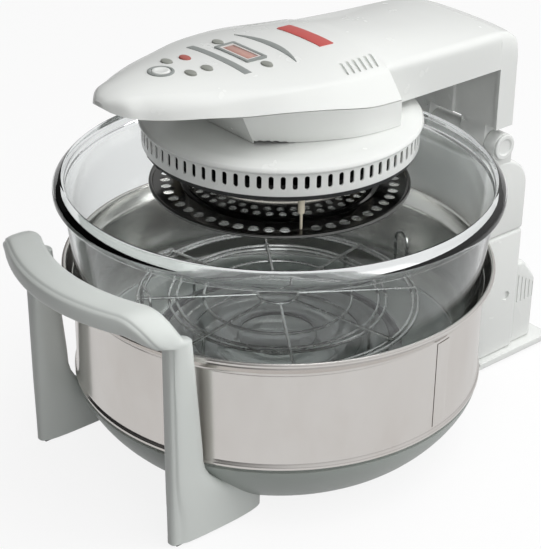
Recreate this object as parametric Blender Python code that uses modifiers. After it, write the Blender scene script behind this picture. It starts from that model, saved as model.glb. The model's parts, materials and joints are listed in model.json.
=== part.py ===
"""Halogen oven: a glass bowl in a steel jacket, with a heater head on a hinged arm.

Metres, +Z up, the front towards -Y. Every place below is given from the bowl's axis on the floor, and one
empty then moves the whole oven so that the middle of its footprint stands at the world's origin.
"""

import math

import bmesh
import bpy
from mathutils import Matrix, Vector

# Clearances
SEAM = 0.0003
RUNNING = 0.0010
OVERRUN = 0.0040
MERGE = 0.00001
FINE_TURNS = 44
TURNS = 32
SMALL_TURNS = 20

# The jacket's radius and sheet and the pan's height, which the bowl and all that stands round it follow
JACKET_RADIUS = 0.1582
JACKET_SHEET = 0.0010
PAN_HEIGHT = 0.0520
COLUMN_HALF_WIDTH = 0.0570

# Pan under the bowl
PAN_STEP = 0.0008
PAN_RADIUS = JACKET_RADIUS + PAN_STEP
PAN_GROUND = 0.0050
PAN_ROUND_REACH = 0.0410
PAN_FLOOR_RADIUS = PAN_RADIUS - PAN_ROUND_REACH
PAN_WALL = 0.0026
PAN_ROUND_POWER = 1.35
PAN_LIP_GAP = 0.0008
PAN_LIP_RADIUS = JACKET_RADIUS - JACKET_SHEET - PAN_LIP_GAP
PAN_LIP_HEIGHT = 0.0080
PAN_FOOT_INSET = 0.0080
PAN_FOOT_CIRCLE = PAN_FLOOR_RADIUS - PAN_FOOT_INSET
PAN_FOOT_RADIUS = 0.0065

# Steel jacket round the bowl
JACKET_HEIGHT = 0.0950
JACKET_TOP = PAN_HEIGHT + JACKET_HEIGHT
FLARE_STEP = 0.0081
FLARE_RADIUS = JACKET_RADIUS + FLARE_STEP
FLARE_HEIGHT = 0.0125
RIM_ROLL = 0.0018
BEAD_RADIUS = 0.0030
LAP_WIDTH = 0.0140
LAP_DEPTH = 0.0007
LAP_ANGLE = 8.5

# Cradle that carries the bowl
CRADLE_INSET = 0.0200
CRADLE_RADIUS = PAN_FLOOR_RADIUS - CRADLE_INSET
CRADLE_WALL = 0.0020
CRADLE_FLANGE = 0.0070
CRADLE_PAD_THICKNESS = 0.0030

# Glass bowl
BOWL_NECK_STEP = 0.0048
BOWL_NECK_RADIUS = JACKET_RADIUS + BOWL_NECK_STEP
BOWL_RIM_STEP = 0.0070
BOWL_RIM_RADIUS = BOWL_NECK_RADIUS + BOWL_RIM_STEP
BOWL_RIM_WIDTH = 0.0085
BOWL_SHOWN = 0.0716
BOWL_RIM_TOP = JACKET_TOP + BOWL_SHOWN
BOWL_RIM_HEIGHT = 0.0140
BOWL_WALL = 0.0050
BOWL_ROUND_REACH = 0.0550
BOWL_FLOOR_RADIUS = BOWL_NECK_RADIUS - BOWL_ROUND_REACH
BOWL_STAND = 0.0640
BOWL_UNDERSIDE = PAN_GROUND + BOWL_STAND
BOWL_ROUND_POWER = 3.2
BOWL_TAPER = 0.0080

# Wire rack in the bowl
RACK_WIRE = 0.0014
RACK_RADII = (0.1100, 0.0840, 0.0560)
RACK_SPOKES = 8
RACK_HUB = 0.0160
RACK_LEG_HEIGHT = 0.0340
RACK_LEG_CIRCLE = 0.0880
RACK_LOOP_HEIGHT = 0.0320
RACK_LOOP_WIDTH = 0.0180
RACK_LOOP_DEG = 76.0

# Heater head
HEAD_RADIUS = 0.1030
HEAD_SHOULDER_STEP = 0.0025
HEAD_SHOULDER = HEAD_RADIUS + HEAD_SHOULDER_STEP
HEAD_CLEAR = 0.0246
HEAD_BAND_LOW = BOWL_RIM_TOP + HEAD_CLEAR
HEAD_BAND_HEIGHT = 0.0168
HEAD_BAND_HIGH = HEAD_BAND_LOW + HEAD_BAND_HEIGHT
HEAD_DOME_HEIGHT = 0.0066
HEAD_TOP = HEAD_BAND_HIGH + HEAD_DOME_HEIGHT
HEAD_SHEET = 0.0012
SLOT_COUNT = 78
SLOT_WIDTH = 0.0035
SLOT_HEIGHT = 0.0100
HEAD_FLANGE = 0.0050
HEAD_BORE_RADIUS = 0.0060
HEAD_SEAL_HEIGHT = 0.0036
HEAD_SEAL_WIDTH = 0.0045
REFLECTOR_INSET = 0.0080
REFLECTOR_RADIUS = HEAD_RADIUS - REFLECTOR_INSET
REFLECTOR_HEIGHT = 0.0035
GUARD_INSET = 0.0045
GUARD_RADIUS = HEAD_RADIUS - GUARD_INSET
GUARD_DROP = 0.0337
GUARD_Z = HEAD_BAND_LOW - GUARD_DROP
GUARD_SHEET = 0.0010
GUARD_ROLL = 0.0016
GUARD_STEP_INSET = 0.0245
GUARD_STEP_RADIUS = GUARD_RADIUS - GUARD_STEP_INSET
GUARD_STEP_HEIGHT = 0.0025
POST_COUNT = 3
POST_RADIUS = 0.0024
POST_ROD_RADIUS = 0.0010
POST_INSET = 0.0125
POST_CIRCLE = GUARD_RADIUS - POST_INSET
GUARD_INNER_ROW = 0.0100
GUARD_HOLE_ROWS = ((POST_CIRCLE, 33, 0.0040), (GUARD_STEP_RADIUS - GUARD_INNER_ROW, 24, 0.0034))
POST_FIRST_DEG = -30.2
POST_ROD_LENGTH = 0.0120
HEATER_INSET = 0.0305
HEATER_RING_RADIUS = GUARD_RADIUS - HEATER_INSET
HEATER_TUBE_RADIUS = 0.0045
HEATER_DROP = 0.0182
HEATER_Z = HEAD_BAND_LOW - HEATER_DROP
HEATER_GAP_DEG = 24.0
HEATER_SOCKET = 0.0090
FAN_ROOM = 0.0180
FAN_RADIUS = HEATER_RING_RADIUS - FAN_ROOM
FAN_DROP = 0.0102
FAN_Z = HEAD_BAND_LOW - FAN_DROP
FAN_BLADES = 6
FAN_BLADE_HEIGHT = 0.0070
FAN_SHEET = 0.0012
FAN_BLADE_DEG = 25.0
SHAFT_RADIUS = 0.0025
MOTOR_RADIUS = 0.0270
MOTOR_HEIGHT = 0.0240
MOTOR_LIFT = 0.0034
MOTOR_Z = HEAD_TOP + MOTOR_LIFT
MOTOR_BRACKET_HALF = 0.0340
COOLING_FAN_RADIUS = 0.0520
COOLING_FAN_LIFT = 0.0123
COOLING_FAN_Z = HEAD_BAND_LOW + COOLING_FAN_LIFT
THERMOSTAT_RADIUS = 0.0060
THERMOSTAT_HEIGHT = 0.0080

# Arm
ARM_LIFT = 0.0054
ARM_LOW = HEAD_TOP + ARM_LIFT
ARM_HEIGHT = 0.0490
ARM_WALL = 0.0026
COLUMN_STANDOFF = 0.0035
COLUMN_FRONT = BOWL_RIM_RADIUS + COLUMN_STANDOFF
LEG_SETBACK = 0.0005
LEG_FRONT = COLUMN_FRONT + LEG_SETBACK
LEG_DEPTH = 0.0190
ARM_REAR = LEG_FRONT + LEG_DEPTH
ARM_NOSE = -0.1600
ARM_HALF_WIDTH = COLUMN_HALF_WIDTH
BELLY_FLARE = 0.0230
BELLY_HALF_WIDTH = ARM_HALF_WIDTH + BELLY_FLARE
BELLY_REAR = 0.0460
BELLY_STEP = 0.0030
LEG_DROP = 0.0510
LEG_LOW = ARM_LOW - LEG_DROP
ARM_CROWN_POWER = 2.4
LEG_PANEL_SETBACK = 0.0020
LEG_RIB_HALF_WIDTH = 0.0100
LEG_RIB_DEPTH = 0.0030
MOTOR_HOUSING_FRONT = -0.0610
MOTOR_HOUSING_SLANT = 0.0180
UNDER_SHEET = 0.0022
UNDER_DROP = 0.0060

# Hinge of the arm
HINGE_PIN_RADIUS = 0.0040
HINGE_INSET = 0.0115
HINGE_Y = COLUMN_FRONT + HINGE_INSET
HINGE_LEG_DROP = 0.0170
HINGE_Z = LEG_LOW - HINGE_LEG_DROP
HINGE_BOSS_WALL = 0.0070
HINGE_BOSS_RADIUS = HINGE_PIN_RADIUS + HINGE_BOSS_WALL
HINGE_EAR_WIDTH = 0.0120
HINGE_CAP_THICKNESS = 0.0020
HINGE_BARREL_WALL = 0.0065
HINGE_BARREL_RADIUS = HINGE_PIN_RADIUS + HINGE_BARREL_WALL
HINGE_HUB_HALF_WIDTH = 0.0170
HINGE_SLEEVE_ROOM = 0.0060
HINGE_SLEEVE_RADIUS = HINGE_PIN_RADIUS + HINGE_SLEEVE_ROOM
HINGE_SLEEVE_WALL = 0.0020
LUG_HALF = 0.0048
LUG_REACH = 0.0260

# Rear column
COLUMN_DEPTH = 0.0445
COLUMN_REAR = COLUMN_FRONT + COLUMN_DEPTH
COLUMN_HINGE_DROP = 0.0140
COLUMN_TOP = HINGE_Z - COLUMN_HINGE_DROP
COLUMN_UPPER_HEIGHT = 0.0680
COLUMN_SPLIT = COLUMN_TOP - COLUMN_UPPER_HEIGHT
COLUMN_SHOULDER = 0.0300
COLUMN_WALL = 0.0028
COLUMN_BASE_STEP = 0.0050
COLUMN_BASE_HALF_WIDTH = COLUMN_HALF_WIDTH + COLUMN_BASE_STEP
COLUMN_BASE_REACH = 0.0420
COLUMN_BASE_REAR = COLUMN_REAR + COLUMN_BASE_REACH
COLUMN_BASE_HEIGHT = 0.0080
COLUMN_TONGUE = 0.1035
COLUMN_BASE_FRONT = COLUMN_FRONT - COLUMN_TONGUE
COLUMN_PAD_HEIGHT = 0.0015
COLUMN_PAD_LENGTH = 0.0160
BACK_BULGE_REACH = 0.0260
BACK_BULGE_REAR = COLUMN_REAR + BACK_BULGE_REACH
BACK_BULGE_TOP = 0.0860
BACK_RIB_COUNT = 5
BACK_RIB_WIDTH = 0.0030
BACK_RIB_DEPTH = 0.0016
EDGE_BEVEL = 0.0030
INLET_RADIUS = 0.0065
INLET_LENGTH = 0.0080
INLET_BORE = 0.0036
INLET_HEIGHT = 0.0300

# Front handle
HANDLE_HALF_WIDTH = 0.0930
HANDLE_LEG_WIDTH = 0.0150
HANDLE_STANDOFF = 0.0138
HANDLE_FRONT = -JACKET_RADIUS - HANDLE_STANDOFF
HANDLE_LEG_DEPTH = 0.0290
HANDLE_NECK_DEPTH = 0.0208
HANDLE_FOOT_REACH = 0.0830
HANDLE_FOOT_REAR = HANDLE_FRONT + HANDLE_FOOT_REACH
HANDLE_FOOT_HEIGHT = 0.0200
HANDLE_FOOT_TAPER = 0.0560
HANDLE_RISE = 0.0460
HANDLE_TOP = JACKET_TOP + HANDLE_RISE
HANDLE_BAR_THICKNESS = 0.0180
HANDLE_BAR_DEPTH = 0.0310
HANDLE_BEND = 0.0180
HANDLE_BOW = 0.0150
HANDLE_OVERHANG = 0.0280
HANDLE_LEAN_POWER = 0.42
HANDLE_PAD_THICKNESS = 0.0015

# Control panel
INLAY = 0.0007
START_RADIUS = 0.0066
START_RING_WIDTH = 0.0024
START_Y = -0.1080
BUTTON_LONG = 0.0100
BUTTON_SHORT = 0.0072
BUTTON_PROUD = 0.0018
BUTTON_TRAVEL = 0.0010
BUTTON_FLANGE = 0.0012
BUTTON_PLACES = {
    "timer_button": (-0.0137, -0.0930, "grey"),
    "stop_button": (-0.0125, -0.0780, "red"),
    "warmer_button": (0.0137, -0.0930, "grey"),
    "minus_button": (0.0125, -0.0780, "grey"),
    "plus_button": (-0.0275, -0.0370, "grey"),
    "light_button": (0.0275, -0.0370, "grey"),
}
DISPLAY_LENGTH = 0.0380
DISPLAY_DEPTH = 0.0185
DISPLAY_Y = -0.0380
DISPLAY_FRAME = 0.0045
DISPLAY_WINDOW_INSET = 0.0003
STRIPE_LENGTH = 0.0660
STRIPE_DEPTH = 0.0066
STRIPE_Y = -0.0580
CRESCENT_LENGTH = 0.0700
CRESCENT_DEPTH = 0.0050
CRESCENT_SAG = 0.0060
CRESCENT_Y = -0.0100
PLATE_LENGTH = 0.0480
PLATE_DEPTH = 0.0130
PLATE_Y = 0.0220
BOARD_THICKNESS = 0.0016
BOARD_DROP = 0.0120
BOARD_HALF_WIDTH = 0.0300
BOARD_FRONT = -0.1180
BOARD_REAR = -0.0180
PILLAR_RADIUS = 0.0025
VENT_COUNT = 6
VENT_PITCH = 0.0063
VENT_WIDTH = 0.0028
VENT_LENGTH = 0.0150
VENT_START = 0.0095
VENT_EDGE = 0.0045
VENT_SLANT_DEG = 19.0

# Shares of the arm: reach, low width, low height, crease width, crease height, top
ARM_NOSE_SHARES = (
    (0.000, 0.060, 0.755, 0.055, 0.806, 0.820),
    (0.015, 0.140, 0.705, 0.125, 0.833, 0.878),
    (0.050, 0.262, 0.657, 0.238, 0.848, 0.930),
    (0.100, 0.345, 0.622, 0.312, 0.845, 0.970),
    (0.170, 0.470, 0.610, 0.425, 0.837, 0.994),
    (0.270, 0.612, 0.604, 0.550, 0.833, 1.000),
    (0.390, 0.738, 0.567, 0.656, 0.831, 0.984),
    (0.530, 0.875, 0.549, 0.776, 0.814, 0.960),
    (0.680, 0.962, 0.476, 0.845, 0.782, 0.943),
    (0.780, 0.995, 0.402, 0.860, 0.755, 0.943),
    (0.870, 0.995, 0.335, 0.844, 0.718, 0.943),
    (1.000, 0.988, 0.298, 0.805, 0.673, 0.930),
)
# Shares of the arm behind the belly: reach to the rear, crease width, crease height, top
ARM_REAR_SHARES = (
    (0.000, 1.070, 0.655, 0.930),
    (0.350, 1.035, 0.620, 0.800),
    (0.700, 1.012, 0.600, 0.700),
    (0.850, 0.988, 0.585, 0.650),
)
# Shares of the arm over the leg: reach over the leg, crease height, top
ARM_END_SHARES = (
    (0.600, 0.540, 0.600),
    (1.000, 0.430, 0.500),
)
# Shares of the housing under the belly: how much narrower its foot is in front, and how fast that fades
HOUSING_NECK_SHARE = 0.39
HOUSING_NECK_POWER_SHARE = 1.8


class Finish:
    """A plain paint for one kind of material."""

    def __init__(self, name, colour, roughness, metallic=0.0, transmission=0.0):
        self.name = name
        self.colour = colour
        self.roughness = roughness
        self.metallic = metallic
        self.transmission = transmission
        self.made = None

    def material(self):
        if self.made is None:
            self.made = bpy.data.materials.new(self.name)
            self.made.use_nodes = True
            shader = self.made.node_tree.nodes["Principled BSDF"]
            shader.inputs["Base Color"].default_value = (*self.colour, 1.0)
            shader.inputs["Roughness"].default_value = self.roughness
            shader.inputs["Metallic"].default_value = self.metallic
            shader.inputs["Transmission Weight"].default_value = self.transmission
            self.made.diffuse_color = (*self.colour, 1.0)
        return self.made


WHITE = Finish("white_gloss_plastic", (0.80, 0.82, 0.79), 0.28)
GREY = Finish("grey_satin_plastic", (0.48, 0.52, 0.50), 0.38)
STEEL = Finish("polished_steel", (0.72, 0.70, 0.67), 0.16, 1.0)
GLASS = Finish("clear_glass", (0.90, 0.95, 0.95), 0.02, 0.0, 1.0)
BLACK = Finish("black_rubber", (0.02, 0.02, 0.02), 0.60)
CHROME = Finish("chrome_wire", (0.80, 0.80, 0.80), 0.10, 1.0)
CERAMIC = Finish("cream_ceramic", (0.78, 0.72, 0.58), 0.50)
QUARTZ = Finish("frosted_quartz", (0.85, 0.80, 0.72), 0.20)
KEY_GREY = Finish("grey_key_plastic", (0.25, 0.27, 0.26), 0.45)
KEY_RED = Finish("red_key_plastic", (0.55, 0.10, 0.08), 0.45)
SMOKE = Finish("smoked_window", (0.30, 0.12, 0.09), 0.10)
DARK_GREY = Finish("dark_grey_trim", (0.30, 0.32, 0.31), 0.40)
BOARD_GREEN = Finish("circuit_board", (0.04, 0.18, 0.08), 0.50)
ALUMINIUM = Finish("cast_aluminium", (0.60, 0.60, 0.60), 0.40, 1.0)


def clear_scene():
    """Remove what the scene held."""
    for old in list(bpy.data.objects):
        bpy.data.objects.remove(old, do_unlink=True)


def new_collection(name):
    """A collection linked to the scene."""
    made = bpy.data.collections.new(name)
    bpy.context.scene.collection.children.link(made)
    return made


clear_scene()
PARTS = new_collection("halogen_oven")
CUTTERS = new_collection("cutters")


def new_axis(name, parent, at):
    """An empty that stands on a joint's axis."""
    axis = bpy.data.objects.new(name, None)
    PARTS.objects.link(axis)
    axis.location = Vector(at) - (parent.matrix_world.translation - OVEN_SHIFT if parent else Vector(at))
    if parent:
        axis.parent = parent
    bpy.context.view_layer.update()
    return axis


FOOTPRINT_FRONT = HANDLE_FRONT - HANDLE_OVERHANG - HANDLE_BOW
OVEN_SHIFT = Vector((0.0, -(FOOTPRINT_FRONT + COLUMN_BASE_REAR) / 2, 0.0))


def own_axes():
    """The oven's own empty, then one empty for each moving body, in a dictionary by body."""
    root = new_axis("oven_axes", None, (0.0, 0.0, 0.0))
    root.location = OVEN_SHIFT
    bpy.context.view_layer.update()
    axes = {"root": root}
    axes["lid"] = new_axis("lid_axis", root, (0.0, HINGE_Y, HINGE_Z))
    axes["bowl"] = new_axis("bowl_axis", root, (0.0, 0.0, BOWL_UNDERSIDE))
    axes["rack"] = new_axis("rack_axis", axes["bowl"], (0.0, 0.0, BOWL_UNDERSIDE + BOWL_WALL))
    axes["fan"] = new_axis("fan_axis", axes["lid"], (0.0, 0.0, FAN_Z))
    return axes


AXES = own_axes()


def keep(thing, name, finish, body, sharp_deg=35.0):
    """Names a finished piece, paints it and hangs it on its body's empty, its own place unchanged."""
    thing.name = name
    thing.data.name = name
    thing.data.materials.clear()
    thing.data.materials.append(finish.material())
    for holder in list(thing.users_collection):
        holder.objects.unlink(thing)
    PARTS.objects.link(thing)
    if thing.type == "MESH":
        thing.data.shade_smooth()
        thing.data.set_sharp_from_angle(angle=math.radians(sharp_deg))
    axis = AXES[body]
    thing.parent = axis
    thing.matrix_parent_inverse = axis.matrix_world.inverted() @ Matrix.Translation(OVEN_SHIFT)
    return thing


def as_cutter(thing, name):
    """Puts a tool shape aside, out of the render."""
    thing.name = name
    for holder in list(thing.users_collection):
        holder.objects.unlink(thing)
    CUTTERS.objects.link(thing)
    thing.parent = AXES["root"]
    thing.matrix_parent_inverse = AXES["root"].matrix_world.inverted() @ Matrix.Translation(OVEN_SHIFT)
    thing.hide_render = True
    thing.display_type = "WIRE"
    return thing


def boolean(thing, tool, operation="DIFFERENCE"):
    """Cut an object with a tool, or join the two."""
    modifier = thing.modifiers.new(operation.lower() + "_" + tool.name, "BOOLEAN")
    modifier.object = tool
    modifier.operation = operation
    return thing


def bevel(thing, width, segments=2, angle_deg=40.0):
    """Round the sharp edges of an object."""
    modifier = thing.modifiers.new("edges", "BEVEL")
    modifier.width = width
    modifier.segments = segments
    modifier.limit_method = "ANGLE"
    modifier.angle_limit = math.radians(angle_deg)
    return thing


def mesh_object(name, mesh):
    """An object that holds a mesh, among the cutters until it is kept."""
    made = bpy.data.objects.new(name, mesh)
    CUTTERS.objects.link(made)
    return made


def from_bmesh(name, shape):
    """An object made of an edit mesh."""
    bmesh.ops.recalc_face_normals(shape, faces=shape.faces)
    mesh = bpy.data.meshes.new(name)
    shape.to_mesh(mesh)
    shape.free()
    return mesh_object(name, mesh)


def block(name, low, high):
    """A box between two corners."""
    low = Vector(low)
    high = Vector(high)
    shape = bmesh.new()
    bmesh.ops.create_cube(shape, size=1.0)
    bmesh.ops.scale(shape, vec=high - low, verts=shape.verts)
    made = from_bmesh(name, shape)
    made.location = (low + high) / 2
    return made


def drum(name, radius, height, at, axis="Z", sides=SMALL_TURNS, top_radius=None):
    """A cylinder or cone centred on a place, along one of the three axes."""
    shape = bmesh.new()
    bmesh.ops.create_cone(shape, cap_ends=True, segments=sides, radius1=radius,
                          radius2=radius if top_radius is None else top_radius, depth=height)
    made = from_bmesh(name, shape)
    turn = {"X": (0.0, math.pi / 2, 0.0), "Y": (math.pi / 2, 0.0, 0.0), "Z": (0.0, 0.0, 0.0)}
    made.rotation_euler = turn[axis]
    made.location = at
    return made


def turned(name, profile, steps=TURNS, closed=False, at=(0.0, 0.0, 0.0)):
    """A profile of (radius, height) pairs turned about the vertical axis through a place."""
    mesh = bpy.data.meshes.new(name)
    edges = [(i, i + 1) for i in range(len(profile) - 1)]
    if closed:
        edges.append((len(profile) - 1, 0))
    mesh.from_pydata([(radius, 0.0, height) for radius, height in profile], edges, [])
    made = mesh_object(name, mesh)
    screw = made.modifiers.new("turn", "SCREW")
    screw.steps = steps
    screw.render_steps = steps
    screw.use_merge_vertices = True
    screw.merge_threshold = MERGE
    made.location = at
    return made


def arc(centre, radius, start_deg, end_deg, count):
    """Points along part of a circle, both ends among them."""
    points = []
    for i in range(count + 1):
        angle = math.radians(start_deg + (end_deg - start_deg) * i / count)
        points.append((centre[0] + radius * math.cos(angle), centre[1] + radius * math.sin(angle)))
    return points


def dish(low, high, power, count):
    """A rounded corner from the foot of a wall, low, up to its top, high."""
    points = []
    for i in range(count + 1):
        angle = math.pi / 2 * i / count
        radius = low[0] + (high[0] - low[0]) * math.sin(angle) ** (2 / power)
        height = high[1] - (high[1] - low[1]) * math.cos(angle) ** (2 / power)
        points.append((radius, height))
    return points


def plate(name, outline, low, high):
    """A flat outline in X and Y, as thick as the two heights are apart."""
    curve = bpy.data.curves.new(name, "CURVE")
    curve.dimensions = "2D"
    curve.fill_mode = "BOTH"
    curve.extrude = (high - low) / 2
    spline = curve.splines.new("POLY")
    spline.points.add(len(outline) - 1)
    for point, (x, y) in zip(spline.points, outline):
        point.co = (x, y, 0.0, 1.0)
    spline.use_cyclic_u = True
    made = bpy.data.objects.new(name, curve)
    CUTTERS.objects.link(made)
    made.location = (0.0, 0.0, (low + high) / 2)
    return as_mesh(made)


def side_plate(name, outline, left, right):
    """A flat outline in Y and Z, as thick as the two places along X are apart."""
    made = plate(name, outline, left, right)
    made.matrix_world = Matrix(((0, 0, 1, 0), (1, 0, 0, 0), (0, 1, 0, 0), (0, 0, 0, 1))) @ made.matrix_world
    bake_place(made)
    return made


def bake_place(thing):
    """Moves the object's turn and place into its mesh."""
    thing.data.transform(thing.matrix_basis)
    thing.matrix_basis = Matrix.Identity(4)


def as_mesh(curve_object):
    """A curve object made a welded mesh object."""
    bpy.context.view_layer.update()
    graph = bpy.context.evaluated_depsgraph_get()
    mesh = bpy.data.meshes.new_from_object(curve_object.evaluated_get(graph))
    shape = bmesh.new()
    shape.from_mesh(mesh)
    bmesh.ops.remove_doubles(shape, verts=shape.verts, dist=MERGE)
    bmesh.ops.recalc_face_normals(shape, faces=shape.faces)
    shape.to_mesh(mesh)
    shape.free()
    made = mesh_object(curve_object.name, mesh)
    made.matrix_world = curve_object.matrix_world
    bpy.data.objects.remove(curve_object, do_unlink=True)
    return made


def tube(name, points, radius, cyclic=False, resolution=1):
    """A round wire along points."""
    curve = bpy.data.curves.new(name, "CURVE")
    curve.dimensions = "3D"
    curve.bevel_depth = radius
    curve.bevel_resolution = resolution
    curve.use_fill_caps = True
    spline = curve.splines.new("POLY")
    spline.points.add(len(points) - 1)
    for point, place in zip(spline.points, points):
        point.co = (*place, 1.0)
    spline.use_cyclic_u = cyclic
    made = bpy.data.objects.new(name, curve)
    CUTTERS.objects.link(made)
    return made


def loft(name, rings):
    """Skins a row of like rings of points and caps both ends."""
    shape = bmesh.new()
    rows = [[shape.verts.new(place) for place in ring] for ring in rings]
    count = len(rows[0])
    for near, far in zip(rows, rows[1:]):
        for i in range(count):
            j = (i + 1) % count
            shape.faces.new((near[i], near[j], far[j], far[i]))
    shape.faces.new(rows[0])
    shape.faces.new(list(reversed(rows[-1])))
    return from_bmesh(name, shape)


def ring_places(radius, height, count, first_deg=0.0):
    """Places evenly round the bowl's axis, with the angle of each."""
    places = []
    for i in range(count):
        angle = math.radians(first_deg) + 2 * math.pi * i / count
        places.append((Vector((radius * math.cos(angle), radius * math.sin(angle), height)), angle))
    return places


def join(name, things):
    """Several tool shapes made one mesh object, still loose from each other."""
    shape = bmesh.new()
    for thing in things:
        mesh = thing.data.copy()
        mesh.transform(thing.matrix_basis)
        shape.from_mesh(mesh)
        bpy.data.meshes.remove(mesh)
        bpy.data.objects.remove(thing, do_unlink=True)
    return from_bmesh(name, shape)


def make_pan():
    """The dished pan, its lip inside the jacket, and its four rubber feet."""
    outer = dish((PAN_FLOOR_RADIUS, PAN_GROUND), (PAN_RADIUS, PAN_HEIGHT), PAN_ROUND_POWER, 4)
    inner = dish((PAN_FLOOR_RADIUS - PAN_WALL, PAN_GROUND + PAN_WALL),
                 (PAN_LIP_RADIUS - PAN_WALL, PAN_HEIGHT), PAN_ROUND_POWER, 4)
    lip_top = PAN_HEIGHT + PAN_LIP_HEIGHT
    profile = [(0.0, PAN_GROUND + PAN_WALL)]
    profile += inner
    profile += [(PAN_LIP_RADIUS - PAN_WALL, lip_top), (PAN_LIP_RADIUS, lip_top), (PAN_LIP_RADIUS, PAN_HEIGHT)]
    profile += list(reversed(outer))
    profile += [(0.0, PAN_GROUND)]
    pan = turned("pan", profile, FINE_TURNS)
    for side in (-1, 1):
        boolean(pan, handle_room(side))
    keep(pan, "base_pan", GREY, "root")
    for place, angle in ring_places(PAN_FOOT_CIRCLE, (PAN_GROUND - SEAM) / 2, 4):
        side = ("right", "rear", "left", "front")[round(angle / (math.pi / 2))]
        if side != "rear":
            foot = drum("foot", PAN_FOOT_RADIUS, PAN_GROUND - SEAM, place)
            keep(foot, "pan_foot_" + side, BLACK, "root")


def handle_room(side):
    """The space round one leg's foot where it comes under the pan."""
    outer = side * (HANDLE_HALF_WIDTH + SEAM)
    inner = side * (HANDLE_HALF_WIDTH - HANDLE_LEG_WIDTH - SEAM)
    room = block("handle_room", (min(outer, inner), HANDLE_FRONT, -OVERRUN),
                 (max(outer, inner), HANDLE_FOOT_REAR + SEAM, HANDLE_FOOT_HEIGHT + SEAM))
    return as_cutter(room, "handle_room_" + side_word(side))


def make_jacket():
    """The steel jacket: a flared and rolled rim, a straight wall, a lap seam and a bead at its foot."""
    inner = JACKET_RADIUS - JACKET_SHEET
    bead_z = PAN_HEIGHT + SEAM + BEAD_RADIUS
    flare_low = JACKET_TOP - FLARE_HEIGHT
    roll = (FLARE_RADIUS - RIM_ROLL, JACKET_TOP - RIM_ROLL)
    profile = [(FLARE_RADIUS - RIM_ROLL * 2, JACKET_TOP - RIM_ROLL)]
    profile += arc(roll, RIM_ROLL, 135, -90, 4)
    profile += [((JACKET_RADIUS + FLARE_RADIUS) / 2 - RIM_ROLL, JACKET_TOP - FLARE_HEIGHT * 0.55)]
    profile += [(JACKET_RADIUS, flare_low)]
    profile += [(JACKET_RADIUS, bead_z + BEAD_RADIUS)]
    profile += arc((JACKET_RADIUS, bead_z), BEAD_RADIUS, 60, -90, 3)
    profile += [(inner, bead_z - BEAD_RADIUS)]
    profile += [(inner, flare_low)]
    profile += [((inner + FLARE_RADIUS) / 2 - RIM_ROLL * 1.4, JACKET_TOP - FLARE_HEIGHT * 0.5)]
    jacket = turned("jacket", profile, FINE_TURNS, closed=True)
    keep(jacket, "steel_jacket", STEEL, "root")
    strip_angle = math.radians(LAP_ANGLE)
    half = LAP_WIDTH / JACKET_RADIUS / 2
    near = JACKET_RADIUS + SEAM
    rings = []
    for i in range(5):
        angle = strip_angle - half + 2 * half * i / 4
        c, s = math.cos(angle), math.sin(angle)
        low, high = bead_z + BEAD_RADIUS + SEAM, flare_low - SEAM
        ring = [(r * c, r * s, z) for r, z in ((near, low), (near + LAP_DEPTH, low),
                                               (near + LAP_DEPTH, high), (near, high))]
        rings.append(ring)
    keep(loft("lap", rings), "jacket_lap_strip", STEEL, "root")


def make_cradle():
    """The ring that carries the bowl over the pan, and its rubber pad."""
    low = PAN_GROUND + PAN_WALL + SEAM
    top = BOWL_UNDERSIDE - 2 * SEAM - CRADLE_PAD_THICKNESS
    outer = CRADLE_RADIUS + CRADLE_WALL
    profile = [(CRADLE_RADIUS, top - CRADLE_WALL), (CRADLE_RADIUS - CRADLE_FLANGE, top - CRADLE_WALL),
               (CRADLE_RADIUS - CRADLE_FLANGE, top), (outer, top), (outer, low + CRADLE_WALL),
               (outer + CRADLE_FLANGE, low + CRADLE_WALL), (outer + CRADLE_FLANGE, low), (CRADLE_RADIUS, low)]
    keep(turned("cradle", list(profile), TURNS, closed=True), "bowl_cradle", ALUMINIUM, "root")
    seat = top + SEAM
    pad = [(CRADLE_RADIUS - CRADLE_FLANGE, seat + CRADLE_PAD_THICKNESS), (outer, seat + CRADLE_PAD_THICKNESS),
           (outer, seat), (CRADLE_RADIUS - CRADLE_FLANGE, seat)]
    keep(turned("pad", pad, TURNS, closed=True), "cradle_pad", BLACK, "root")


def bowl_profile():
    """The bowl's section, from the middle of its floor up inside, over the rim and down outside."""
    rim_low = BOWL_RIM_TOP - BOWL_RIM_HEIGHT
    inner_rim = BOWL_RIM_RADIUS - BOWL_RIM_WIDTH
    wall_low_radius = BOWL_NECK_RADIUS - BOWL_TAPER
    outer = dish((BOWL_FLOOR_RADIUS, BOWL_UNDERSIDE), (wall_low_radius, JACKET_TOP - FLARE_HEIGHT),
                 BOWL_ROUND_POWER, 6)
    inner = dish((BOWL_FLOOR_RADIUS, BOWL_UNDERSIDE + BOWL_WALL),
                 (wall_low_radius - BOWL_WALL, JACKET_TOP - FLARE_HEIGHT), BOWL_ROUND_POWER, 6)
    round_edge = BOWL_RIM_WIDTH * 0.35
    rim = [(inner_rim - round_edge * 0.3, rim_low), (inner_rim, BOWL_RIM_TOP - round_edge)]
    rim += [(inner_rim + round_edge, BOWL_RIM_TOP)]
    rim += [(BOWL_RIM_RADIUS - round_edge * 1.6, BOWL_RIM_TOP - round_edge)]
    rim += [(BOWL_RIM_RADIUS, BOWL_RIM_TOP - BOWL_RIM_HEIGHT * 0.55)]
    rim += [(BOWL_RIM_RADIUS, rim_low + round_edge), (BOWL_RIM_RADIUS - round_edge, rim_low)]
    rim += [(BOWL_NECK_RADIUS, rim_low)]
    return [(0.0, BOWL_UNDERSIDE + BOWL_WALL)] + inner + rim + list(reversed(outer)) + [(0.0, BOWL_UNDERSIDE)]


def make_bowl():
    """The pressed glass bowl."""
    keep(turned("bowl", bowl_profile(), FINE_TURNS), "glass_bowl", GLASS, "bowl")


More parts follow.
